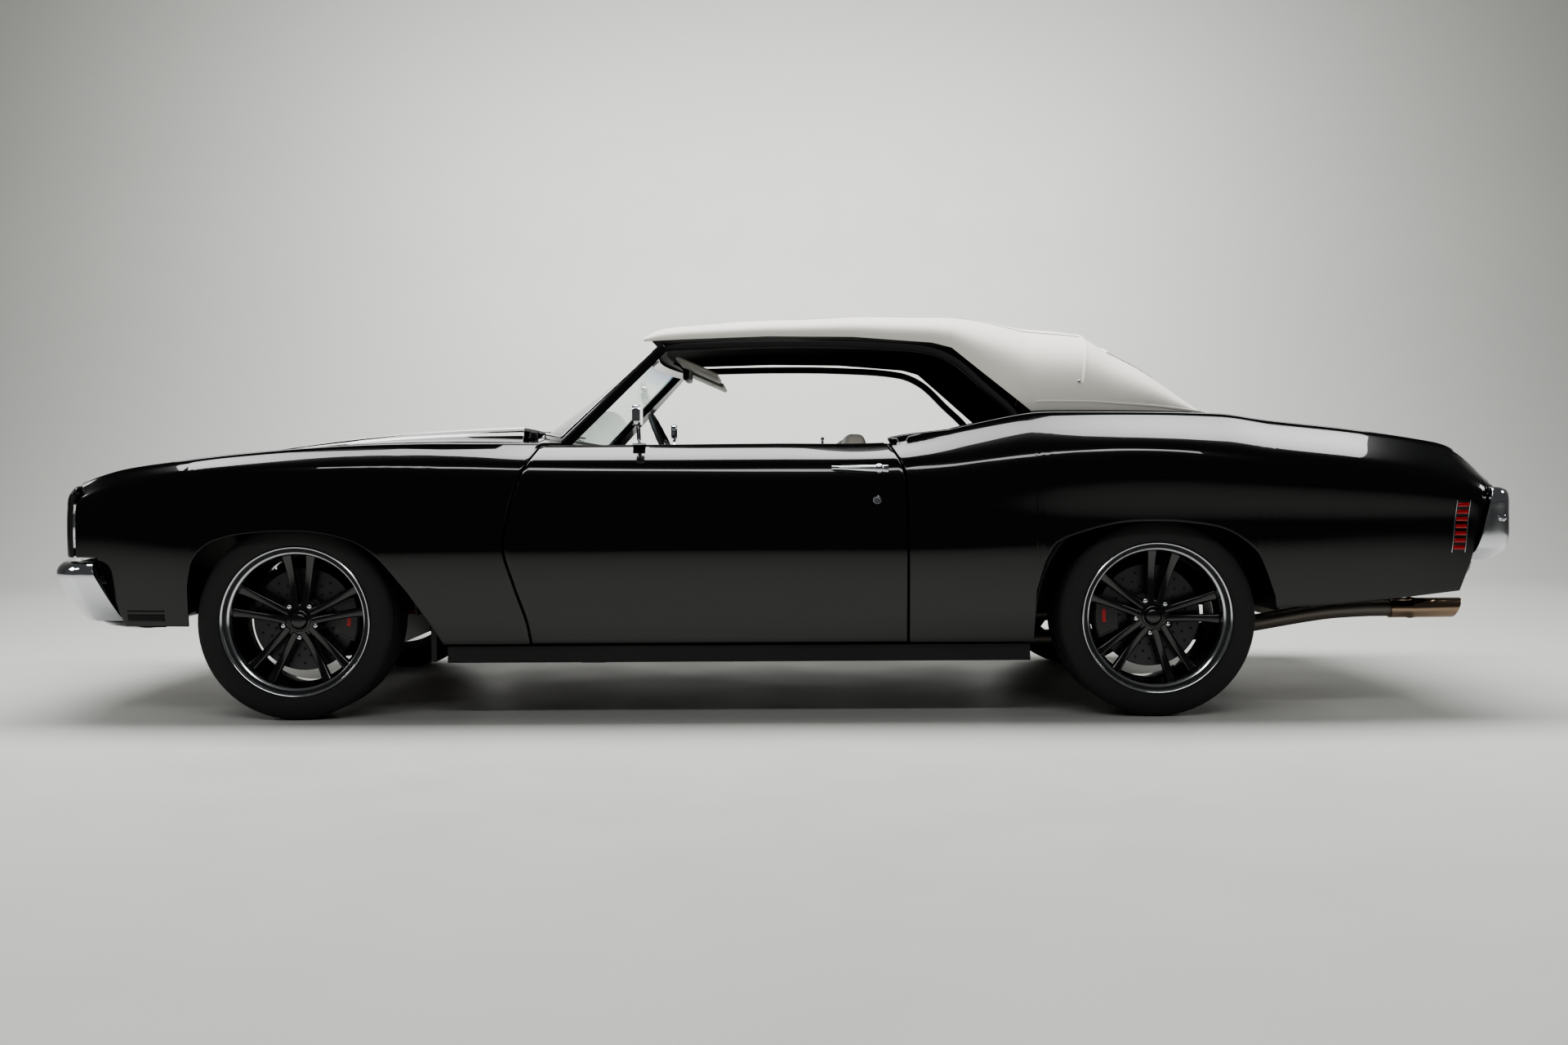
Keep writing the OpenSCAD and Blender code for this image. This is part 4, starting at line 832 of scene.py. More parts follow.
    def hood_rear(self, y: Rows) -> Array:
        """Station of the hood's rear edge at a half width."""
        return self.hood_back + 40 * (y / self.hood_half) ** 2

    def hood(self) -> tuple[Chunk, Chunk]:
        """Hood with the long dome that grows towards the windshield.

        Returns:
            (face chunk, back chunk).
        """
        edge = self.hood_half
        y = np.unique(np.concatenate([np.linspace(-edge, edge, 70),
                                      *(s * np.linspace(300, 385, 15) for s in BOTH)]))[None]
        u = np.linspace(0, 1, 76)[:, None]
        x = mix(self.hood_front(y), self.hood_rear(y), u)
        along = np.clip((x - self.hump_from) / self.hump_run, 0, 1)
        dome = self.hump_high * along * ease((self.hump_half - abs(y)) / 62)
        rows = xyz(x, y, self.hood_base(x, y) + dome)
        return shell(rows, rows - [0, 0, 14], roll=3)

    def deck_z(self, x: Rows, y: Rows) -> Array:
        """Height of the deck behind the cabin."""
        share = np.minimum(self.deck_half, abs(y)) / self.deck_half
        return curve(self.belt_z, x) + 8 + 16 * (1 - share ** 2)

    def deck(self, x: Array, inset: float, thick: float = 12) -> tuple[Chunk, Chunk]:
        """A cross piece of the deck between the quarter panels.

        Args:
            x: stations.
            inset: gap to each quarter panel.
            thick: its thickness.

        Returns:
            (face chunk, back chunk).
        """
        k = np.linspace(-1, 1, 60)[None]
        y = k * (line(self.quarter_in, x)[:, None] - inset)
        rows = xyz(x[:, None], y, self.deck_z(x[:, None], y))
        return shell(rows, rows - [0, 0, thick], roll=2.5)

    def build(self) -> None:
        """Dresses every painted panel."""
        for side, hand in ((0, "left"), (1, "right")):
            turn = mirrored if side else (lambda c: c)
            face, back = self.fender()
            piece(f"fender_skin_{hand}", "body", [(PAINT, turn(face)), (SATIN, turn(back))],
                  [f"front_fender_{hand}"])
            face, back = self.quarter()
            piece(f"quarter_skin_{hand}", "body", [(PAINT, turn(face)), (SATIN, turn(back))],
                  [f"quarter_panel_{hand}"])
            Door().build(self, hand, turn)
        face, back = self.hood()
        lugs = [block([-964, s * 506 - 6, 862], [-936, s * 506 + 6, 905]) for s in BOTH]
        piece("hood_panel", "hood", [(STRIPED, face), (SATIN, back), (SATIN, merged(*lugs))], ["hood"])
        face, back = self.deck(np.linspace(1492, 1636, 14), self.seam)
        piece("deck_skin", "body", [(PAINT, face), (SATIN, back)], ["deck_panel"])
        face, back = self.deck(np.linspace(1645, 2318, 60), self.lid_gap, 14)
        piece("trunk_skin", "trunk_lid", [(PAINT, face), (SATIN, back), *self.trunk_fittings()],
              ["trunk_lid"])
        face, back = self.deck(np.linspace(2326, 2440, 22), self.seam)
        piece("tail_skin", "body", [(PAINT, face), (SATIN, back)], ["tail_panel"])

    def trunk_fittings(self) -> Parts:
        """Goosenecks under the lid.

        Returns:
            (finish, chunk) pairs.
        """
        out = []
        for s in BOTH:
            path = resample([[1595, s * 486, 968], [1604, s * 486, 918], [1660, s * 486, 906],
                             [1696, s * 486, 920], [1700, s * 486, 962]], 18)
            out.append(sweep(path, rounded(12, 18, 4), up=(0, 1, 0)))
        return [(SATIN, merged(*out))]


@dataclass
class Door:
    """What a door carries: pull handle, lock, mirror and its inner trim. Drawn for the left side."""

    handle_x: float = 299.0
    handle_z: float = 823.0

    def build(self, skin: Skin, hand: str, turn: Callable) -> None:
        """Dresses the door of one hand.

        Args:
            skin: the painted panels.
            hand: left or right.
            turn: puts a chunk of the left side on this hand.
        """
        face, back = skin.door()
        body = f"door_{hand}"
        hinge, heights = np.array([-921.0, -917.0]), (522, 652)
        knuckles = [revolve([(6.3, -18), (9.5, -18), (9.5, 18), (6.3, 18)], (*hinge, z), (0, 0, 1), 32)
                    for z in heights]
        neck = np.array([[3, 6], [9, 16], [16, 34], [26, 50], [40, 57], [62, 58], [86, 58]])
        straps = [sweep(resample(np.pad(neck + hinge, ((0, 0), (0, 1)), constant_values=z), 30),
                        rounded(8, 34, 2.5))
                  for z in heights]
        trim = [block([-690, -803, 330], [330, -790, 676], 5)]
        rest = sweep(resample([[-420, -792, 626], [-330, -774, 640], [-60, -774, 640], [60, -792, 626]], 24),
                     rounded(44, 46, 18))
        crank = [disc(16, 22, (-190, -795, 540), (0, 1, 0), 28),
                 block([-196, -779, 450], [-184, -771, 546], 3),
                 disc(11, 24, (-190, -775, 454), (0, 1, 0), 24)]
        knob = revolve([(0, 30), (5, 29), (6, 24), (4, 16), (3, 0)], (180, -775, 900), (0, 0, 1), 20)
        strip = self.belt_strip(skin)
        piece(f"door_skin_{hand}", body, [(PAINT, turn(face)), (DASH, turn(back)),
                                          (SATIN, turn(merged(*straps, *knuckles))),
                                          (VINYL, turn(merged(*trim, rest))),
                                          (CHROME, turn(merged(*crank, knob))),
                                          (SEAL, turn(strip))], [f"door_{hand}"])
        piece(f"door_handle_{hand}", body, [(CHROME, turn(self.handle(skin))),
                                            (SEAL, turn(self.handle_bed(skin)))])
        self.mirror(hand, turn, skin)

    def belt_strip(self, skin: Skin) -> Chunk:
        """Window seal along the door's top.

        Args:
            skin: the painted panels.

        Returns:
            The chunk on the left side.
        """
        x = np.linspace(-735, 385, 60)
        path = xyz(x, -790.0, curve(skin.belt_z, x) - 2.5)
        return sweep(path, rounded(44, 6, 2.5))

    def handle_bed(self, skin: Skin) -> Chunk:
        """Dark scoop behind the pull.

        Args:
            skin: the painted panels.

        Returns:
            The chunk on the left side.
        """
        x = np.linspace(self.handle_x - 62, self.handle_x + 20, 20)
        y = -skin.side(x, np.full_like(x, self.handle_z)) + 1
        return sweep(xyz(x, y, self.handle_z), rounded(4, 26, 2))

    def handle(self, skin: Skin) -> Chunk:
        """Pull bar with a round button at its rear end, and the key lock below.

        Args:
            skin: the painted panels.

        Returns:
            The chunk on the left side.
        """
        x = np.linspace(self.handle_x - 92, self.handle_x + 92, 40)
        y = -skin.side(x, np.full_like(x, self.handle_z))
        t = (x - x[0]) / (x[-1] - x[0])
        out = 20 * np.minimum(1, 5 * t * (1 - t) + 0.35)
        half = mix(7, 12, ease(t * 1.2))
        ring = rounded(2, 2, 0.9)[None] * np.stack([out * 0.45, half], 1)[:, None]
        bar = sweep(xyz(x, y - out * 0.55, self.handle_z + 2 - 4 * t), ring)
        y1 = float(y[-1])
        button = revolve([(0, 24), (9, 23.5), (12, 21), (12.5, 16), (15, 14), (16, 10), (16, 0)],
                         (self.handle_x + 62, y1, self.handle_z - 1), (0, -1, 0), 40)
        lock = revolve([(0, 3), (7, 3), (8, 4.5), (12, 4.5), (14, 2), (14, -2)],
                       (self.handle_x + 55, -float(skin.side(358.0, 720.0)), 720), (0, -1, 0), 40)
        return merged(bar, button, lock)

    def mirror(self, hand: str, turn: Callable, skin: Skin) -> None:
        """Chrome head with rounded corners on a stalk; the glass faces back.

        Args:
            hand: left or right.
            turn: puts a chunk of the left side on this hand.
            skin: the painted panels.
        """
        head = plate(rounded(112, 70, 17, 8), 0, 26, 6)
        place = lambda c: (np.stack([-444 + c[0][:, 2], -893 + c[0][:, 0], 1000 + c[0][:, 1]], 1), c[1])
        head = place(head)
        glass = place(plate(rounded(100, 58, 12, 8), 24.6, 26.6, 0.5))
        foot = float(curve(skin.belt_z, -431.0))
        stalk = sweep(resample([[-431, -826, foot + 1], [-431, -838, foot + 22], [-431, -852, foot + 44],
                                [-431, -868, foot + 66]], 16), circle(7, 16), up=(1, 0, 0))
        base = block([-452, -852, foot - 1.5], [-410, -798, foot + 7], 3)
        piece(f"mirror_shell_{hand}", f"door_{hand}", [(CHROME, turn(outward(head))), (CHROME, turn(stalk)),
                                                       (CHROME, turn(base)), (MIRROR, turn(glass))],
              [f"mirror_{hand}"])


@dataclass
class Ends(Skin):
    """Nose, grille, lamps, bumpers and tail."""

    lamp_r: float = 62.0
    lamp_z: float = 641.0
    open_share: float = 0.9
    open_low: float = 566.0
    open_high: float = 716.0
    # Plans are half outlines seen from above, sections are [outward, height]
    front_plan = [[-2190, 908], [-2250, 905], [-2300, 888], [-2345, 850], [-2385, 800], [-2420, 720],
                  [-2450, 620], [-2478, 470], [-2495, 290], [-2504.5, 100], [-2504.5, 0]]
    front_outer = [[-55, 528], [-26, 525], [-5, 506], [0, 484], [-10, 455], [-38, 400], [-72, 352],
                   [-100, 326]]
    front_inner = [[-58, 518], [-42, 505], [-32, 492], [-30, 476], [-38, 448], [-62, 400], [-92, 356],
                   [-112, 336]]
    rear_plan = [[2352, 897], [2396, 893], [2430, 877], [2455, 845], [2470, 790], [2480, 700], [2488, 560],
                 [2492, 480], [2500, 280], [2504.5, 100], [2504.5, 0]]
    rear_outer = [[-62, 750], [-26, 750], [-6, 738], [0, 712], [0, 680], [0, 600], [-2, 580], [-12, 548],
                  [-40, 527], [-72, 508]]
    rear_inner = [[-66, 738], [-38, 736], [-28, 722], [-26, 706], [-26, 680], [-26, 600], [-28, 580],
                  [-36, 560], [-56, 541], [-80, 522]]
    front_skirt = [[-2130, 800], [-2200, 792], [-2262, 740], [-2330, 600], [-2372, 400], [-2390, 150],
                   [-2390, 0]]
    front_drop = [[0, 322], [-30, 306], [-110, 292], [-210, 288]]
    rear_skirt = [[2290, 848], [2330, 820], [2356, 700], [2366, 400], [2370, 0]]
    rear_drop = [[10, 502], [0, 470], [-50, 412], [-84, 402]]

    def nose_plan(self, y: Rows) -> Array:
        """Station of the nose at a half width."""
        return curve([[0, -2410], [400, -2400], [650, -2380], [760, -2362], [810, -2345], [835, -2332],
                      [850, -2320]], abs(y))

    def nose(self) -> tuple[Chunk, Chunk]:
        """Nose panel round the grille opening.

        Returns:
            (face chunk, back chunk).
        """
        seam_x = -2299.7
        k = np.unique(np.concatenate([np.linspace(-1, 1, 81), [-self.open_share, self.open_share],
                                      *(s * np.linspace(self.open_share, 1, 9) for s in BOTH),
                                      [-0.829, 0.829, -0.8275, 0.8275]]))[:, None]
        low, high = self.open_low, self.open_high
        z = np.concatenate([np.linspace(541, low, 4), np.linspace(low, high, 12)[1:],
                            np.linspace(high, 766, 12)[1:]])[None]
        y = k * self.side(-2315.0, np.minimum(z, 700))
        lean = curve([[541, 0], [716, 0], [745, 5], [766, 20]], z)
        rows = xyz(self.nose_plan(abs(k) * 850) + lean, y, z)
        tip = np.minimum(abs(rows[:, -1, 1]), 848)
        wide = tip > 702
        back = np.where(wide, seam_x, self.hood_front(tip) - self.lid_gap)
        rise = np.where(wide, mix(curve(self.hood_edge, -2299.0), 776, ease((tip - 698) / 120)),
                        self.hood_base(-2340.0, np.minimum(tip, self.hood_half)))
        end = xyz(back, np.sign(k[:, 0]) * np.minimum(tip, 812), rise)[:, None]
        s = np.linspace(0, 1, 9)[None, 1:, None]
        top = rows[:, -1:] + (end - rows[:, -1:]) * s
        bulge = xyz(0, 0, 5 * np.sin(np.linspace(0, 1, 9)[1:] * math.pi))[None]
        full = np.concatenate([rows, top + bulge], 1)
        inner = full.copy()
        inner[:, :len(z[0])] += [14, 0, 0]
        inner[:, len(z[0]) - 3:] -= [0, 0, 9]
        inner[..., 0] = np.minimum(inner[..., 0], seam_x)
        zc = (full[:-1, :-1, 2] + full[1:, 1:, 2]) / 2
        kc = (k[:-1, 0] + k[1:, 0])[:, None] / 2
        front = np.arange(zc.shape[1])[None] < len(z[0]) - 1
        holes = (abs(kc) < self.open_share) & (zc > low) & (zc < high) & front
        return shell(full, inner, roll=2, holes=holes)

    def ring(self) -> Chunk:
        """Bright strip round the grille opening.

        Returns:
            The chunk.
        """
        k = np.linspace(-self.open_share, self.open_share, 60)
        path = []
        for z, ks in ((self.open_low, k), (self.open_high, k[::-1])):
            path.append(xyz(self.nose_plan(abs(ks) * 850) - 2, ks * self.side(-2315.0, min(z, 700)), z))
        loop = np.concatenate([path[0], path[1], path[0][:1]])
        return sweep(loop, rounded(4, 4, 1.5))

    def grille(self) -> tuple[Chunk, Chunk]:
        """Egg-crate grille between and round the four lamps.

        Returns:
            (dark chunk, bright middle bar).
        """
        parts = [block([-2338, -690, 567], [-2330, 690, 715], 1)]
        dark = []
        for z in np.arange(582, 712, 16.5):
            dark.append(block([-2352, -450, z - 2], [-2336, 450, z + 2], 1))
        for y in np.arange(-440, 441, 22):
            dark.append(block([-2349, y - 1.2, 569], [-2336, y + 1.2, 713], 0.6))
        middle = block([-2358, -452, 634], [-2336, 452, 648], 3)
        dark += [block([-2346, s * 603 - 137, 569], [-2334, s * 603 + 137, 713], 4) for s in BOTH]
        return merged(*parts, *dark), middle

    def lamps(self) -> tuple[Chunk, Chunk, Chunk]:
        """Four round lamps: bright rim, mirror bowl and fluted glass.

        Returns:
            (rims, bowls, glasses).
        """
        r, bend = self.lamp_r, 1.4
        front = [(r * 0.86 * math.sin(t * bend) / math.sin(bend), -7 + 9 * (1 - math.cos(t * bend)))
                 for t in np.linspace(0, 1, 10)]
        profiles = ([(r - 9, -4), (r - 6, -8), (r - 1, -8), (r + 3, -3), (r + 3, 16), (r - 9, 16)],
                    [(0, 34), (r * 0.5, 28), (r - 9, 2), (r - 9, 0), (r * 0.5, 24), (0, 31)],
                    front + [(r * 0.86, 5), (0, 3)])
        places = [(-2358, s * y, self.lamp_z) for s in BOTH for y in (535, 672)]
        rims, bowls, glasses = (merged(*(revolve(q, c, (1, 0, 0)) for c in places)) for q in profiles)
        return rims, bowls, glasses

    def bumper(self, plan: Rows, outer: Rows, inner: Rows, out: int, slant: float, mid_z: float,
               n: int = 120) -> Chunk:
        """A bent section: carried along half a plan and its mirror, its ends leaning with height.

        Args:
            plan: [x, half width] from the end to the middle.
            outer, inner: [outward, height] of the two faces.
            out: which side of the plan is outward.
            slant, mid_z: the end's lean for each mm over mid_z.
            n: points along the half plan.

        Returns:
            The chunk.
        """
        half = resample(plan, n)
        p = np.concatenate([half * [1, -1], half[-2::-1]])
        d = unit(np.gradient(p, axis=0))
        normal = np.stack([d[:, 1], -d[:, 0]], 1) * out
        s = np.concatenate([[0], np.cumsum(np.linalg.norm(np.diff(p, axis=0), axis=1))])
        lean = slant * np.clip(1 - np.minimum(s, s[-1] - s) / 90, 0, 1)
        faces = []
        for rows in (outer, inner):
            q = resample(rows, 30)
            faces.append(xyz(p[:, None, 0] + normal[:, None, 0] * q[:, 0] + lean[:, None] * (q[:, 1] - mid_z),
                             p[:, None, 1] + normal[:, None, 1] * q[:, 0], q[:, 1]))
        return wall(*faces, roll=1.5)

    def build(self) -> None:
        """Dresses both ends of the car."""
        face, back = self.nose()
        piece("nose_skin", "body", [(PAINT, face), (SATIN, back), (CHROME, self.ring())], ["nose_panel"])
        dark, middle = self.grille()
        piece("grille_bars", "body", [(PLASTIC, dark), (CHROME, middle)], ["grille"])
        rim, bowl, glass = self.lamps()
        piece("headlamp_rims", "body", [(CHROME, rim), (CHROME, bowl)])
        piece("headlamp_glass", "body", [(LENS, glass)], ["headlamps"])
        front = self.bumper(self.front_plan, self.front_outer, self.front_inner, -1, -0.36, 420)
        piece("front_bumper_bar", "body", [(CHROME, front)], ["front_bumper"])
        rear = self.bumper(self.rear_plan, self.rear_outer, self.rear_inner, 1, 0.26, 629)
        bolts = [revolve([(0, 7), (8, 6), (12, 2), (12, -4)], (2412, s * 893, 650), (0, s, 0), 24)
                 for s in BOTH]
        piece("rear_bumper_bar", "body", [(CHROME, merged(rear, *bolts))], ["rear_bumper"])
        self.tail_lamps()
        self.valances()
        self.side_lamps()

    def tail_lamps(self) -> None:
        """Wide red lenses set in the rear bumper, each in a bright rim."""
        half = resample(self.rear_plan, 160)
        red, rim = [], []
        for s in BOTH:
            p = half[(half[:, 1] < 788) & (half[:, 1] > 484)] * [1, s]
            d = unit(np.gradient(p, axis=0))
            normal = np.stack([d[:, 1], -d[:, 0]], 1)
            normal *= np.sign(normal[:, :1])
            for out, low, high, into in ((3.2, 604, 676, red), (2.0, 598, 682, rim)):
                centre = xyz(p[:, 0] + normal[:, 0] * (out - 5), p[:, 1] + normal[:, 1] * (out - 5),
                             (low + high) / 2)
                into.append(sweep(centre if into is rim else centre[2:-2], rounded(10, high - low, 4)))
        piece("tail_lamp_lenses", "body", [(RED, merged(*red)), (CHROME, merged(*rim))], ["tail_lamps"])

    def valances(self) -> None:
        """Painted skirts under both bumpers."""
        for name, node_, plan, rows, out in (
                ("front_skirt", "front_valance", self.front_skirt, self.front_drop, -1),
                ("rear_skirt", "rear_valance", self.rear_skirt, self.rear_drop, 1)):
            chunk = self.bumper(plan, rows, [[a - 5, b + 5] for a, b in rows], out, 0, 0, 60)
            piece(name, "body", [(PAINT, chunk)], [node_])

    def side_lamps(self) -> None:
        """Rear side lamps with seven red bars, and the dark louvres of the front corner lamps."""
        lean = lambda z: 2278 + (z - 632) * 0.10
        red, frame_ = [], []
        for s in BOTH:
            for k in range(7):
                z = 693 - 23.5 * k
                x = lean(z)
                y = float(self.side(x, z))
                red.append(block([x - 19, s * y - 5, z - 7], [x + 19, s * y + 5, z + 7], 3))
            for dx in (-23, 23):
                z = np.linspace(536, 708, 24)
                x = lean(z) + dx
                frame_.append(sweep(xyz(x, s * (self.side(x, z) + 0.5), z), circle(2.2, 10), up=(0, 1, 0)))
        piece("rear_side_lamps", "body", [(RED, merged(*red)), (CHROME, merged(*frame_))])
        bars, lens = [], []
        for s in BOTH:
            x = np.linspace(-2128, -2000, 14)
            for z in (336, 349, 362):
                bars.append(sweep(xyz(x, s * (self.side(x, z) + 1), z), rounded(5, 4, 1.5)))
            lens.append(sweep(xyz(x, s * (self.side(x, 349.0) - 2.5), 349), rounded(5, 40, 2)))
        piece("front_side_louvres", "body", [(PLASTIC, merged(*bars)), (SEAL, merged(*lens))])


@dataclass
class Glasshouse(Skin):
    """Cowl, windshield and folding top."""

    top_t: float = 2.4
    square: float = 0.62
    pane_u: float = 0.92
    pane_v: tuple[float, float] = (0.05, 0.94)
    window_x: tuple[float, float] = (1180.0, 1420.0)
    window_a: tuple[float, float] = (50.0, 130.0)
    crown = [[-432, 1300], [-380, 1332], [-250, 1350], [0, 1364], [300, 1376], [640, 1378], [760, 1368],
             [900, 1346], [1040, 1328], [1096, 1316], [1170, 1268], [1300, 1186], [1400, 1098], [1484, 1012]]
    edge_z = [[-432, 1268], [-300, 1272], [0, 1280], [290, 1276], [560, 1254], [625, 1236], [890, 1011]]
    top_w = [[-432, 628], [-250, 652], [200, 668], [560, 680], [700, 706], [890, 754], [1300, 750],
             [1484, 708]]
    bows = (-432, -60, 330, 720, 1096, 1484)

    def shield(self, u: Array, v: Array) -> Array:
        """Windshield plane: u runs across, v up.

        Args:
            u: -1 to 1.
            v: 0 to 1.

        Returns:
            The points.
        """
        low = xyz(-870 + 170 * u * u, 742 * u, 951 - 34 * u * u)
        high = xyz(-438 + 71 * u * u, 620 * u, 1262)
        return low + (high - low) * np.asarray(v)[..., None]

    def windshield(self) -> None:
        """Frame, glass, bright trim and seals."""
        lean = np.array([0.58, 0, -0.81])
        u = np.unique(np.concatenate([np.linspace(-1, 1, 60), [-self.pane_u, self.pane_u]]))[:, None]
        v = np.concatenate([[0, 0.025], np.linspace(*self.pane_v, 24), [0.97, 1]])[None]
        uu, vv = np.broadcast_arrays(u, v)
        rows = self.shield(uu, vv)
        uc, vc = (uu[:-1, :-1] + uu[1:, 1:]) / 2, (vv[:-1, :-1] + vv[1:, 1:]) / 2
        holes = (abs(uc) < self.pane_u) & (vc > self.pane_v[0]) & (vc < self.pane_v[1])
        face, back = shell(rows, rows + lean * 30, roll=4, holes=holes)
        edge = lambda c, us, vs: self.shield(np.asarray(us, float), np.asarray(vs, float)) - lean * c
        n = 40
        one = np.ones(n)
        w, v0, v1 = 0.925, 0.046, 0.944
        loop = np.concatenate([edge(1.5, np.linspace(-w, w, n), v0 * one),
                               edge(1.5, w * one, np.linspace(v0, v1, n))[1:],
                               edge(1.5, np.linspace(w, -w, n), v1 * one)[1:],
                               edge(1.5, -w * one, np.linspace(v1, v0, n))[1:]])
        trim = sweep(loop, rounded(11, 4, 1.8), up=-lean)
        side = [sweep(edge(0, s * 0.998 * one, np.linspace(0.0, 1.0, n)) + [0, s * 1.5, 0], rounded(5, 9, 2),
                      up=-lean)
                for s in BOTH]
        piece("windshield_surround", "body", [(PAINT, face), (PAINT, back), (CHROME, trim),
                                              (SEAL, merged(*side))],
              ["windshield_frame"])
        u = np.linspace(-self.pane_u, self.pane_u, 50)[:, None]
        v = np.linspace(*self.pane_v, 24)[None]
        uu, vv = np.broadcast_arrays(u, v)
        rows = self.shield(uu, vv)
        piece("windshield_pane", "body", [(SHIELD, wall(rows + lean * 8, rows + lean * 13, roll=0.8))],
              ["windshield_glass"])

    def cowl(self) -> None:
        """Cowl in front of the glass, with its vent slots and the parked wipers."""
        k = np.linspace(-1.004, 1.004, 80)[:, None]
        y = k * 742
        front = np.maximum(self.hood_rear(np.minimum(self.hood_half, abs(y))) + self.lid_gap,
                           np.where(abs(y) > self.hood_half, -822, -2000))
        p = self.shield(np.clip(k, -1, 1), 0 * k)
        t = np.linspace(0, 1, 14)[None]
        base = self.hood_base(-880.0, np.minimum(y * y, self.hood_half ** 2) / self.hood_half)
        rows = xyz(mix(front, p[..., 0] - 0.7, t), y + 0 * t, mix(base, p[..., 2], ease(t)))
        face, back = shell(rows, xyz(rows[..., 0], rows[..., 1], 890.0 + 0 * rows[..., 2]), roll=2)
        slots = [block([-866, s * c - 42, 938], [-850, s * c + 42, 945], 2) for s in BOTH
                 for c in (150, 270, 390)]
        arms = []
        for a, b in ((-420, 150), (130, 600)):
            path = xyz(np.linspace(-842, -812, 12) + abs(np.linspace(a, b, 12)) * 0.03, np.linspace(a, b, 12),
                       np.linspace(958, 974, 12) + 4 * np.sin(np.linspace(0, 3.1, 12)))
            arms += [sweep(path, rounded(9, 7, 3)), disc(15, 26, (-846, a, 936), (0, 0, 1), 24)]
        piece("cowl_skin", "body", [(PAINT, face), (SATIN, back), (PLASTIC, merged(*slots, *arms))],
              ["cowl_panel"])

    def edge(self, x: Array) -> Array:
        """Height of the top's side edge: over the side opening, then along the quarter panel."""
        return np.where(x < 888, line(self.edge_z, x), curve(self.belt_z, x) + 8.6)

    def top_point(self, x: Rows, a: Rows) -> Array:
        """Point of the top: each section is a super-ellipse, pulled down between the bows.

        Args:
            x: stations.
            a: angles from the left edge.

        Returns:
            The points.
        """
        x, a = np.broadcast_arrays(np.asarray(x, float), np.asarray(a, float))
        s, c = np.maximum(np.sin(a), 0) ** self.square, np.sign(np.cos(a)) * abs(np.cos(a)) ** self.square
        low = self.edge(x)
        b = np.asarray(self.bows, float)
        i = np.clip(np.searchsorted(b, x, side="right") - 1, 0, len(b) - 2)
        t = (x - b[i]) / (b[i + 1] - b[i])
        sag = 6 * np.sin(np.pi * np.clip(t, 0, 1)) ** 2 * np.maximum(np.sin(a), 0) ** 2 * (i < 4)
        near = np.minimum(abs(x - self.bows[0]), abs(x - self.bows[4]))
        pull = 1.1 * np.sin(x / 31 + 5 * np.cos(a)) * np.exp(-near / 90) * s ** 3
        return xyz(x, -curve(self.top_w, x) * c, low + (curve(self.crown, x) - low) * s - sag + pull)

    def top(self) -> None:
        """The white top as one sheet with its black lining, its seams, side finishers and rear window."""
        x = np.unique(np.concatenate([np.linspace(self.bows[0], self.bows[-1] - 2, 150), self.window_x,
                                      [625, 888, 1096], [-429, -425, 1479]]))[:, None]
        h = np.linspace(0, 1, 44) ** 1.7 * math.pi / 2
        a = np.unique(np.concatenate([h, math.pi - h, np.radians(self.window_a)]))[None]
        rows = self.top_point(x, a)
        n = unit(np.cross(np.gradient(rows, axis=0), np.gradient(rows, axis=1)))
        n *= np.sign((n[:, :, 2]).sum())
        inner = rows - n * self.top_t
        xc, ac = (x[:-1, 0] + x[1:, 0])[:, None] / 2, (a[0, :-1] + a[0, 1:])[None] / 2
        (x0, x1), (a0, a1) = self.window_x, np.radians(self.window_a)
        holes = (xc > x0) & (xc < x1) & (ac > a0) & (ac < a1)
        face, back = shell(rows, inner, roll=1.0, holes=holes)
        sheet = piece("top_cloth", "body", [(CLOTH, face), (LINING, back)], ["soft_top"],
                      sharp=60)
        t = np.linspace(math.radians(8), math.radians(172), 90)
        welts = [sweep(self.top_point(1098 - 52 * (1 - np.sin(t)) ** 1.6, t) + [0, 0, 1.6],
                       rounded(13, 3, 1.3))]
        for s in BOTH:
            xs = np.linspace(-424, 1090, 90)
            ang = math.pi / 2 - s * math.radians(36)
            welts.append(sweep(self.top_point(xs, ang + 0 * xs) + [0, 0, 0.8], rounded(9, 2.4, 1)))
            xs = np.linspace(900, 1470, 40)
            welts.append(sweep(self.top_point(xs, math.pi / 2 - s * math.pi / 2 * 0.985 + 0 * xs) + [0, 0, 2],
                               rounded(4, 8, 1.5)))
        m = 30
        one = np.ones(m)
        x0, x1 = x0 - 4, x1 + 4
        lo, hi = math.radians(self.window_a[0] - 1), math.radians(self.window_a[1] + 1)
        ring = np.concatenate([self.top_point(np.linspace(x0, x1, m), lo * one),
                               self.top_point(x1 * one, np.linspace(lo, hi, m)),
                               self.top_point(np.linspace(x1, x0, m), hi * one),
                               self.top_point(x0 * one, np.linspace(hi, lo, m))])
        welts.append(sweep(ring + [0, 0, 1.4], rounded(16, 3, 1.2)))
        seams = piece("top_seams", "body", [(CLOTH, merged(*welts))])
        hooks = []
        for s in BOTH:
            at = self.top_point(1047.0, math.pi / 2 - s * (math.pi / 2 - 0.16))
            hooks.append(revolve([(0, 9), (5, 8), (6.5, 3), (5, -2), (0, -3)], at, (0, -s, 0.2), 20))
        trims = []
        for s in BOTH:
            xs = np.linspace(884, 1480, 70)
            trims.append(sweep(xyz(xs, s * (curve(self.top_w, xs) + 6), curve(self.belt_z, xs) + 9.5),
                               rounded(9, 5, 2)))
        piece("top_finishers", "body", [(CHROME, merged(*hooks)), (SEAL, merged(*trims))])
        xs = np.linspace(self.window_x[0] + 1, self.window_x[1] - 1, 30)[:, None]
        a = np.linspace(math.radians(self.window_a[0] + 0.5), math.radians(self.window_a[1] - 0.5), 50)[None]
        pane = self.top_point(xs, a)
        n = unit(np.cross(np.gradient(pane, axis=0), np.gradient(pane, axis=1)))
        n *= np.sign(n[:, :, 2].sum())
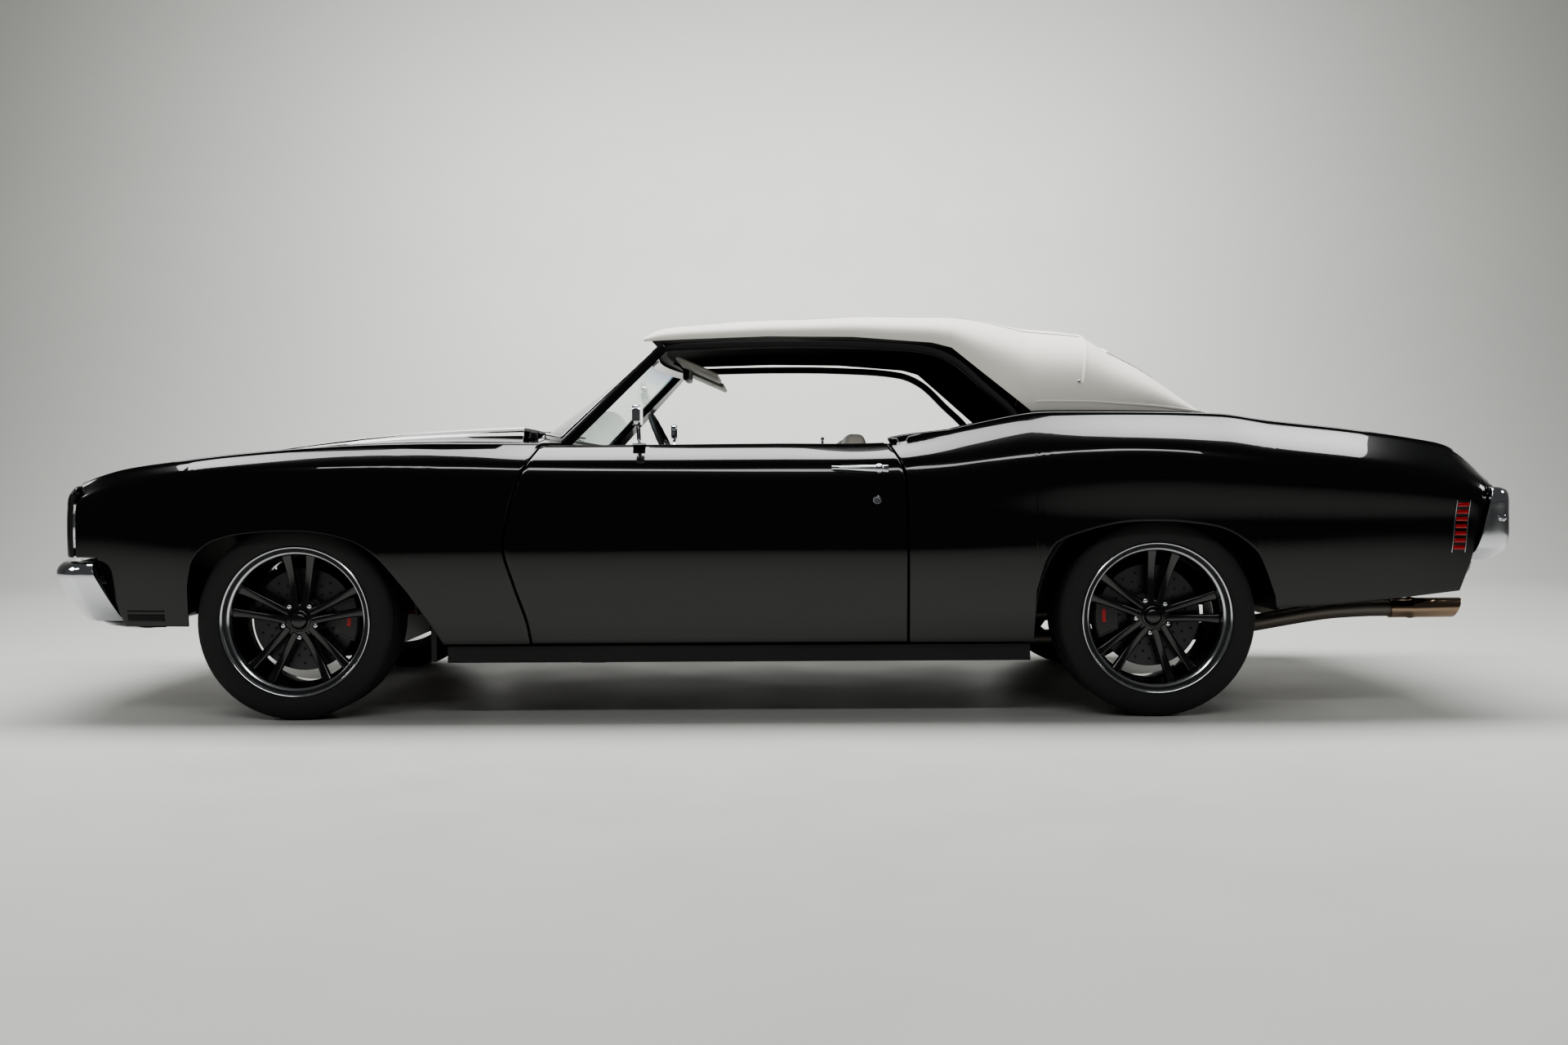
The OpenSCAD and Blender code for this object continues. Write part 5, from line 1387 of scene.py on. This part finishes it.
        piece("rear_window_pane", "body", [(WINDOW, wall(pane - n * 0.4, pane - n * 2.2, roll=0.4))],
              ["rear_window"])

    def rails(self) -> None:
        """Black side rails and header of the top, the sun visors and the inner mirror."""
        path = resample([[-348, 604, 1247], [-300, 628, 1250], [0, 646, 1256], [290, 650, 1252],
                         [540, 656, 1232], [640, 668, 1190], [740, 690, 1098], [830, 712, 1012],
                         [850, 722, 960]], 70)
        parts = [sweep(path * [1, s, 1], rounded(26, 40, 8), up=(0, s, 0.01)) for s in BOTH]
        bow = 1 - np.linspace(-1, 1, 30) ** 2
        header = sweep(xyz(-352.0 - 60 * bow, np.linspace(-600, 600, 30), 1252 + 12 * bow),
                       rounded(44, 22, 6))
        piece("top_side_rails", "body", [(SATIN, merged(*parts, header))], ["top_rails"])
        visors = []
        for s in BOTH:
            c = block([-330, s * 300 - 190, 1215], [-170, s * 300 + 190, 1231], 7)
            visors.append(turned(c, (0, 1, 0), 24, (-330, 0, 1225)))
        glass = block([-330, -115, 1168], [-306, 115, 1222], 8)
        stem = sweep([[-372, 0, 1240], [-345, 0, 1228], [-326, 0, 1206]], circle(5, 12), up=(0, 1, 0))
        piece("sun_visors", "body", [(VINYL, merged(*visors)), (PLASTIC, merged(glass, stem))])

    def build(self) -> None:
        """Dresses the glasshouse."""
        self.cowl()
        self.windshield()
        self.top()
        self.rails()


@dataclass
class Wheel:
    """One wheel and tyre, drawn with the outer face along +Z and then set on its axle."""

    name: str
    x: float
    y: float
    tyre_w: float
    turn: float
    radius: float = 326.0
    rim: float = 248.5

    def place(self, chunk: Chunk) -> Chunk:
        """Stands the wheel up on the left side, or mirrored on the right.

        Args:
            chunk: drawn with the outer face along +Z.

        Returns:
            The chunk on its axle.
        """
        p, f = chunk
        q = np.stack([self.x + p[:, 0], -abs(self.y) - p[:, 2], self.radius + p[:, 1]], 1)
        return mirrored((q, f)) if self.y > 0 else (q, f)

    def spokes(self) -> Chunk:
        """Five pairs of spokes that spread from the hub to the barrel.

        Returns:
            The chunk.
        """
        out = []
        for k in range(5):
            for s in BOTH:
                r = np.linspace(40, 219, 16)
                t = (r - 40) / 179
                path = xyz(r, s * mix(15, 41, t ** 1.2), 50 - 10 * np.sin(t * math.pi) + 10 * t ** 3)
                w = mix(27, 25, t) + 12 * t ** 6
                ring = rounded(2, 2, 0.55, 4)[None] * np.stack([w / 2, mix(13, 11, t)], 1)[:, None]
                out.append(turned(sweep(path, ring), (0, 0, 1), self.turn + 72 * k))
        return merged(*out)

    def build(self) -> None:
        """Dresses wheel, disc and tyre."""
        h = self.tyre_w / 2 - 15
        z = (0, 0, 1)
        lip = revolve([(229, h - 3), (248.5, h), (249, h + 4), (248.2, h + 7), (246, h + 8.3),
                       (243.5, h + 7.4), (240, h + 2.5), (236, h - 5), (231, h - 9), (225, h - 11.5),
                       (221.5, h - 15), (220, h - 22), (219, h - 33), (226, h - 33)], (0, 0, 0), z, 160)
        barrel = revolve([(219, h - 32), (217, 62), (209, 50), (206, 30), (214, 20 - h), (216, -h - 8),
                          (248.5, -h - 8), (248.5, -h), (228.5, -h), (228.5, h - 32)], (0, 0, 0), z, 128)
        hub = revolve([(24.3, -28), (76, -28), (76, 8), (70, 22), (66, 40), (60, 52), (52, 58), (38, 60),
                       (24.3, 40)], (0, 0, 0), z, 96)
        cap = revolve([(0, 76), (14, 75.6), (22, 73.5), (27, 69), (29, 63), (31, 61), (36, 60), (36, 40),
                       (0, 40)], (0, 0, 0), z, 72)
        nuts, wells = [], []
        for k in range(5):
            a = math.radians(self.turn + 36 + 72 * k)
            c = (57 * math.cos(a), 57 * math.sin(a), 0)
            nuts.append(revolve([(0, 66), (5, 65.4), (9, 63), (10.2, 60), (10.2, 48), (12, 46), (12, 40),
                                 (0, 40)], c, z, 6, a))
            wells.append(revolve([(15.5, 56), (17, 58.5), (14, 57), (14, 44), (15.5, 44)], c, z, 28))
        plate_ = revolve([(60, -1), (171, -1), (172, -2), (172, -26), (171, -27), (60, -27)], (0, 0, 0), z,
                         128)
        # The drilled holes in the brake disc are not cut: thin black discs on its face give the dark inside
        # of each hole as painted shade
        holes = []
        for k in range(20):
            for j, r in enumerate((100, 124, 148)):
                a = math.radians(18 * k + 9 * j)
                holes.append(disc(4.6, 0.8, (r * math.cos(a), r * math.sin(a), -1.2), z, 12, 0.2))
        dressed = [(POLISHED, lip), (SPOKE, merged(barrel, hub, cap, self.spokes())),
                   (CHROME, merged(*nuts)), (SEAL, merged(*wells, *holes)), (DISC, plate_)]
        body = f"wheel_{self.name}"
        piece(f"{self.name}_rim", body, [(look, self.place(c)) for look, c in dressed], [body])
        piece(f"{self.name}_tread", body, [(RUBBER, self.place(self.tyre(h)))], [f"tyre_{self.name}"],
              sharp=30)

    def tyre(self, h: float) -> Chunk:
        """Tyre: walls with fine ribs, four grooves round the tread and slanted sipes across its blocks.

        Args:
            h: half the rim's width.

        Returns:
            The closed chunk.
        """
        w, n = self.tyre_w / 2, 400
        side = resample([[229, h - 12], [229.5, h - 2], [238, h - 0.5], [249.2, h + 0.5], [251, h + 6],
                         [262, w - 2.5], [283, w], [306, w - 5.5], [318, w - 13], [323.5, w - 22],
                         [325.2, w - 32]], 34)
        y = np.linspace(w - 33, -(w - 33), 46)[1:-1]
        groove = np.zeros_like(y)
        for g in (-0.62, -0.21, 0.21, 0.62):
            groove = np.maximum(groove, ease((6.5 - abs(y - g * (w - 18))) / 2.5))
        tread = np.stack([326 - 0.9 * (abs(y) / w) ** 2 - 6.5 * groove, y], 1)
        half = np.concatenate([side, tread, side[::-1] * [1, -1]])
        a = np.linspace(0, 2 * math.pi, n, endpoint=False)[:, None]
        r, z = np.broadcast_arrays(half[None, :, 0], half[None, :, 1])
        phase = (a * 34 / math.pi + abs(z) / 46 + 0.5 * (z > 0)) % 1
        r = r - 2.6 * ease((0.09 - abs(phase - 0.5)) / 0.04) * (r > 317)
        ribs = 0.35 * np.sin(half[None, :, 0] * 1.15) * (abs(half[None, :, 0] - 288) < 22) * np.sign(z)
        q = xyz(r * np.cos(a), r * np.sin(a), z + ribs)
        return outward(grid(q, close_u=True, close_v=True))

    def caliper(self, body: str, sign: int) -> None:
        """Bright-edged caliper cover with a plain red bar, on the side named by sign.

        Args:
            body: the body that it rides on.
            sign: 1 behind the axle, -1 ahead of it.
        """
        a = np.radians(np.linspace(-21, 21, 14))
        arc = lambda r: np.stack([sign * r * np.cos(a), r * np.sin(a)], 1)
        out = plate(np.concatenate([arc(186), arc(122)[::-1]]), 23.5, 27.5, 1.5)
        bar = plate(np.concatenate([arc(164)[4:10], arc(151)[4:10][::-1]]), 27, 28.6, 0.4)
        piece(f"{self.name}_caliper_cover", body, [(SPOKE, self.place(out)), (ACCENT, self.place(bar))])


@dataclass
class Cabin:
    """Seats, dash, steering wheel and trim."""

    column = (-352, -375, 858)
    tilt: float = 25.0
    seat_y: float = 375.0
    seat_half: float = 248.0

    def pad(self, low: Rows, high: Rows, pleats: float, along: int, depth: float = 5.0,
            crown: float = 14.0) -> Chunk:
        """A cushion between two corners: a rounded box that swells, with pleats pressed in along an axis.

        Args:
            low, high: corners.
            pleats: spacing of the pressed lines.
            along: the axis that the lines cross.
            depth: how deep the lines are pressed.
            crown: how far the middle swells.

        Returns:
            The closed chunk.
        """
        n = 60
        low, high = np.asarray(low, float), np.asarray(high, float)
        u, v = np.meshgrid(np.linspace(-math.pi / 2, math.pi / 2, n),
                           np.linspace(-math.pi, math.pi, 2 * n, endpoint=False), indexing="ij")
        power = lambda c, e: np.sign(c) * abs(c) ** e
        e = 0.28
        d = xyz(power(np.cos(u), e) * power(np.cos(v), e), power(np.cos(u), e) * power(np.sin(v), e),
                power(np.sin(u), e))
        half, mid = (high - low) / 2, (high + low) / 2
        thin = int(np.argmin(half))
        q = mid + d * half
        flat = np.prod(np.delete(1 - d ** 4, thin, -1), -1)
        s = q[..., along] - mid[along]
        line_ = ease((4 - abs((s + pleats / 2) % pleats - pleats / 2)) / 4) * (flat > 0.25)
        q[..., thin] += np.sign(d[..., thin]) * (crown * (flat - 1) - depth * line_ * abs(d[..., thin]) ** 3)
        return outward(grid(q, close_v=True))

    def seats(self) -> None:
        """Two buckets and the rear bench."""
        for s, hand in ((-1, "left"), (1, "right")):
            y, half = s * self.seat_y, self.seat_half
            base = self.pad([-300, y - half, 300], [242, y + half, 424], 62, 1)
            piece(f"seat_cushion_{hand}", "body", [(VINYL, base)])
            back = turned(self.pad([236, y - half, 318], [344, y + half, 948], 62, 1), (0, 1, 0), 1.0,
                          (290, y, 360))
            piece(f"seat_back_{hand}", "body", [(VINYL, back)])
            if s < 0:
                under = block([-235, y - 195, 276], [175, y + 195, 316], 6)
                piece("seat_bases", "body", [(SATIN, merged(under, mirrored(under)))], ["front_seats"])
        bench = self.pad([502, -598, 392], [722, 598, 490], 90, 1, crown=10)
        piece("rear_cushion", "body", [(VINYL, bench)])
        rest = turned(self.pad([790, -586, 470], [884, 586, 930], 90, 1, crown=10), (0, 1, 0), 12,
                      (830, 0, 480))
        legs = [block([520, s * 350 - 210, 275], [700, s * 350 + 210, 432], 5) for s in BOTH]
        piece("rear_backrest", "body", [(VINYL, rest), (CARPET, merged(*legs))], ["rear_seat"])

    def dash(self) -> None:
        """Padded dash, dials in bright rings, a trim strip, the column, and the console with its shifter."""
        y = np.linspace(-733, 733, 40)
        path = xyz(-760.0, y, 800.0)
        outline = np.array([[-118, -80], [60, -80], [130, -150], [150, -60], [158, 20], [163, 60], [150, 76],
                            [110, 79], [-60, 80], [-118, 78]])
        outline = resample(np.concatenate([outline, outline[:1]]), 60)[:-1] * [-1, 1]
        pad = sweep(path, outline)
        dials, rings = [], []
        for k, r in ((-540, 42), (-440, 52), (-320, 52), (-230, 30), (-160, 30)):
            c = (-607, k, 806)
            dials.append(disc(r, 4, c, (1, 0, 0), 48))
            rings.append(revolve([(r - 1, 2), (r + 3, 7), (r + 5, 6), (r + 5, -2), (r - 1, -2)], c, (1, 0, 0),
                                 56))
        strip = block([-606, -90, 770], [-600, 690, 838], 2)
        tilt = math.radians(self.tilt)
        axis = (-math.cos(tilt), 0, -math.sin(tilt))
        column = revolve([(0, 40), (24, 40), (27, 60), (27, 250), (0, 250)], self.column, axis, 40)
        shaft = revolve([(0, -12), (9.6, -12), (9.6, 50), (0, 50)], self.column, axis, 32)
        piece("dash_pad", "body", [(DASH, pad), (DIAL, merged(*dials)), (CHROME, merged(*rings)),
                                   (PLASTIC, merged(strip, column, shaft))],
              ["dashboard"])
        self.wheel(axis)
        tunnel = sweep(resample([[-700, 0, 470], [-520, 0, 470], [-420, 0, 452], [-380, 0, 436],
                                 [700, 0, 432]], 30), rounded(200, 24, 10))
        shifter = [sweep([[-160, 0, 440], [-165, 0, 500], [-172, 0, 560]], circle(5, 14), up=(0, 1, 0)),
                   disc(17, 30, (-172, 0, 556), (0, 0, 1), 28, 8)]
        console = block([-330, -86, 436], [60, 86, 476], 10)
        piece("console", "body", [(DASH, console), (CHROME, merged(*shifter)), (CARPET, tunnel)])

    def wheel(self, axis: Rows) -> None:
        """Thin-rimmed steering wheel with three flat spokes and a plain hub.

        Args:
            axis: the column's direction, forward and down.
        """
        out = -np.asarray(axis)
        up = unit(np.cross(out, [0, 1, 0]))
        up = up if up[2] > 0 else -up
        c = np.asarray(self.column, float)
        a = np.linspace(0, 2 * math.pi, 97)[:-1]
        dirs = np.cos(a)[:, None] * np.array([0, 1.0, 0]) + np.sin(a)[:, None] * up
        b = np.linspace(0, 2 * math.pi, 15)[:-1]
        grip = 10.5 + 0.6 * np.cos(a * 24)[:, None]
        q = c + dirs[:, None] * (180 + grip * np.cos(b))[..., None] + out * (grip * np.sin(b))[..., None]
        rim = outward(grid(q, close_u=True, close_v=True))
        spokes = []
        for k in (-90, 30, 150):
            d = math.cos(math.radians(k)) * np.array([0, 1.0, 0]) + math.sin(math.radians(k)) * up
            rise = 6 * np.cos(np.linspace(0, math.pi / 2, 12))
            path = c + d * np.linspace(22, 174, 12)[:, None] + out * rise[:, None]
            spokes.append(sweep(path, rounded(30, 6, 2.5), up=out))
        hub = revolve([(0, 26), (20, 25), (30, 20), (34, 10), (34, -18), (10.4, -18)], c, out, 48)
        piece("steering_wheel_rim", "steering_wheel", [(DASH, rim), (DASH, hub), (POLISHED, merged(*spokes))],
              ["steering_wheel"])

    def build(self) -> None:
        """Dresses the cabin."""
        self.seats()
        self.dash()
        sides = [block([404, s * 776 - 24, 275], [852, s * 776 + 24, 896], 12) for s in BOTH]
        piece("rear_side_trim", "body", [(DASH, merged(*sides))])


@dataclass
class Under:
    """Exhaust and what shows below."""

    rear_run = [[721, 385, 214], [860, 402, 214], [1120, 492, 226], [1277, 530, 232], [1450, 545, 244],
                [1640, 568, 272], [1900, 622, 322], [2030, 640, 334], [2140, 642, 336]]
    front_run = [[-1160, 320, 236], [-900, 300, 226], [-400, 300, 222], [0, 330, 216], [300, 380, 212],
                 [332, 386, 212]]

    def build(self) -> None:
        """Dresses the exhaust, the splash panels and the plain CAD parts."""
        pipes, tips = [], []
        for s in BOTH:
            for path in (self.rear_run, self.front_run):
                pipes.append(sweep(resample(np.array(path, float) * [1, s, 1], 60), circle(29, 24)))
            box_ = [[x, s * 385, 214] for x in (334, 352, 700, 719)]
            pipes.append(sweep(resample(box_, 30), rounded(268, 70, 34, 8)))
            pipes += [block([x, s * 385 - 15, 240], [x + 30, s * 385 + 15, 262], 2) for x in (380, 660)]
            c = (2130, s * 642, 336)
            prof = [(29.5, 0), (34, 0), (35, 3), (34, 10), (33.5, 60), (36, 66), (37, 74), (36, 82), (34, 90),
                    (34, 244), (33, 246), (30.5, 245), (30, 200), (29.6, 60)]
            p, f = revolve(prof, c, (1, 0, 0), 64)
            far = p[:, 0] > 2300
            p = np.where(far[:, None], p + np.stack([(p[:, 2] - 370) * 0.42, 0 * p[:, 0], 0 * p[:, 0]], 1), p)
            tips.append((p, f))
        piece("exhaust_pipes", "body", [(PIPE, merged(*pipes)), (BRONZED, merged(*tips))], ["exhaust"],
              sharp=50)
        splash = [block([-1120, min(s * 480, s * 862), 190], [-1100, max(s * 480, s * 862), 560], 3)
                  for s in BOTH]
        piece("splash_panels", "body", [(SATIN, merged(*splash))])
        looks = {SATIN: ("chassis_frame", "front_wheelhouses", "rear_wheelhouses", "hood_hinges",
                         "door_hinge_pins", "rocker_panels"),
                 CARPET: ("floor_pan",), BLOCK: ("engine",),
                 CAST: ("front_suspension", "rear_axle", "knuckle_left", "knuckle_right"),
                 PIPE: ("fuel_tank",)}
        for finish, names in looks.items():
            for n in names:
                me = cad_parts[n].data
                me.materials.clear()
                me.materials.append(finish.material())


@dataclass
class Studio:
    """Pale floor, soft lights and the camera at the car's left side."""

    focal: float = 36.3
    shift: float = -0.025
    tilt: float = -0.3
    place: tuple[float, float, float] = (0.05, -6.09, 0.775)
    # Name, place, size in metres, watts, and the point that it faces
    lamps = (
        ("overhead", (0, 0.3, 4.6), (8.5, 2.2), 430, (0, 0, 0.6)),
        ("wall_wash", (0, 4.4, 4.6), (9, 1.6), 420, (0, 8.5, 1.4)),
        ("side_fill", (0, -6.5, 5.6), (8, 0.7), 120, (0, 0, 0.6)),
        ("front_fill", (-7.5, -0.5, 3.4), (2, 1.4), 80, (0, 0, 0.6)),
        ("rear_fill", (7.5, -0.5, 3.4), (2, 1.4), 80, (0, 0, 0.6)),
    )

    def light(self, name: str, at: Rows, size: tuple[float, float], power: float, towards: Rows) -> None:
        """One soft rectangular light.

        Args:
            name: its name.
            at, size: place and size in metres.
            power: watts.
            towards: the point that it faces.
        """
        lamp = bpy.data.lights.new(name, "AREA")
        lamp.shape, lamp.size, lamp.size_y, lamp.energy = "RECTANGLE", size[0], size[1], power
        o = bpy.data.objects.new(name, lamp)
        o.location = at
        o.rotation_euler = (Vector(towards) - Vector(at)).to_track_quat("-Z", "Y").to_euler()
        bpy.context.scene.collection.objects.link(o)

    def build(self) -> None:
        """Makes floor, wall, lights, world and camera."""
        n = 24
        x = np.linspace(-30000, 30000, 3)
        a = np.linspace(0, math.pi / 2, n)
        run = np.concatenate([[[-30000, 0]], np.stack([6000 + 3000 * np.sin(a), 3000 * (1 - np.cos(a))], 1),
                              [[9000, 16000]]])
        q = xyz(x[:, None], run[None, :, 0], run[None, :, 1])
        floor = Finish("pale_studio_floor", "#cfcfcb", rough=0.45)
        # Seen from its back the sweep is clear, so a camera behind the wall still sees the car
        t = floor.material().node_tree
        clear = node(t, "ShaderNodeBsdfTransparent").outputs[0]
        one_way = node(t, "ShaderNodeMixShader", {0: node(t, "ShaderNodeNewGeometry").outputs["Backfacing"],
                                                  1: t.nodes["Principled BSDF"].outputs[0], 2: clear})
        t.links.new(one_way.outputs[0], t.nodes["Material Output"].inputs["Surface"])
        p, f = grid(q, facing=(0, -0.5, 1))
        me = bpy.data.meshes.new("floor")
        me.from_pydata((p * MM).tolist(), [], f.tolist())
        me.materials.append(floor.material())
        me.shade_smooth()
        o = bpy.data.objects.new("floor", me)
        bpy.context.scene.collection.objects.link(o)
        for name, at, size, power, towards in self.lamps:
            self.light(name, at, size, power, towards)
        world = bpy.data.worlds.new("studio")
        bpy.context.scene.world = world
        world.use_nodes = True
        back = world.node_tree.nodes["Background"]
        back.inputs["Color"].default_value = colour("#c8cacc")
        back.inputs["Strength"].default_value = 0.12
        data = bpy.data.cameras.new("camera")
        data.lens, data.sensor_width, data.shift_y = self.focal, 36.0, self.shift
        data.clip_end = 200
        cam = bpy.data.objects.new("camera", data)
        level = Matrix.Translation(self.place) @ Matrix.Rotation(math.pi / 2, 4, "X")
        cam.matrix_world = level @ Matrix.Rotation(math.radians(self.tilt), 4, "Z")
        bpy.context.scene.collection.objects.link(cam)
        bpy.context.scene.camera = cam
        view = bpy.context.scene.view_settings
        view.view_transform, view.look, view.exposure = "AgX", "AgX - Medium High Contrast", 0.2


def main() -> None:
    """Dresses the car, then the studio."""
    logging.basicConfig(level=logging.INFO, format="%(name)s %(message)s")
    Skin().build()
    Ends().build()
    Glasshouse().build()
    for name, x, y, w, turn in (("front_left", -1567.5, -761.5, 245, 18),
                                ("front_right", -1567.5, 761.5, 245, 18),
                                ("rear_left", 1277.5, -759.5, 275, 8), ("rear_right", 1277.5, 759.5, 275, 8)):
        wheel = Wheel(name, x, y, w, turn)
        wheel.build()
        hand = name.split("_")[1]
        wheel.caliper("body" if "rear" in name else f"knuckle_{hand}", -1 if "rear" in name else 1)
    Cabin().build()
    Under().build()
    Studio().build()


if __name__ == "__main__":
    main()
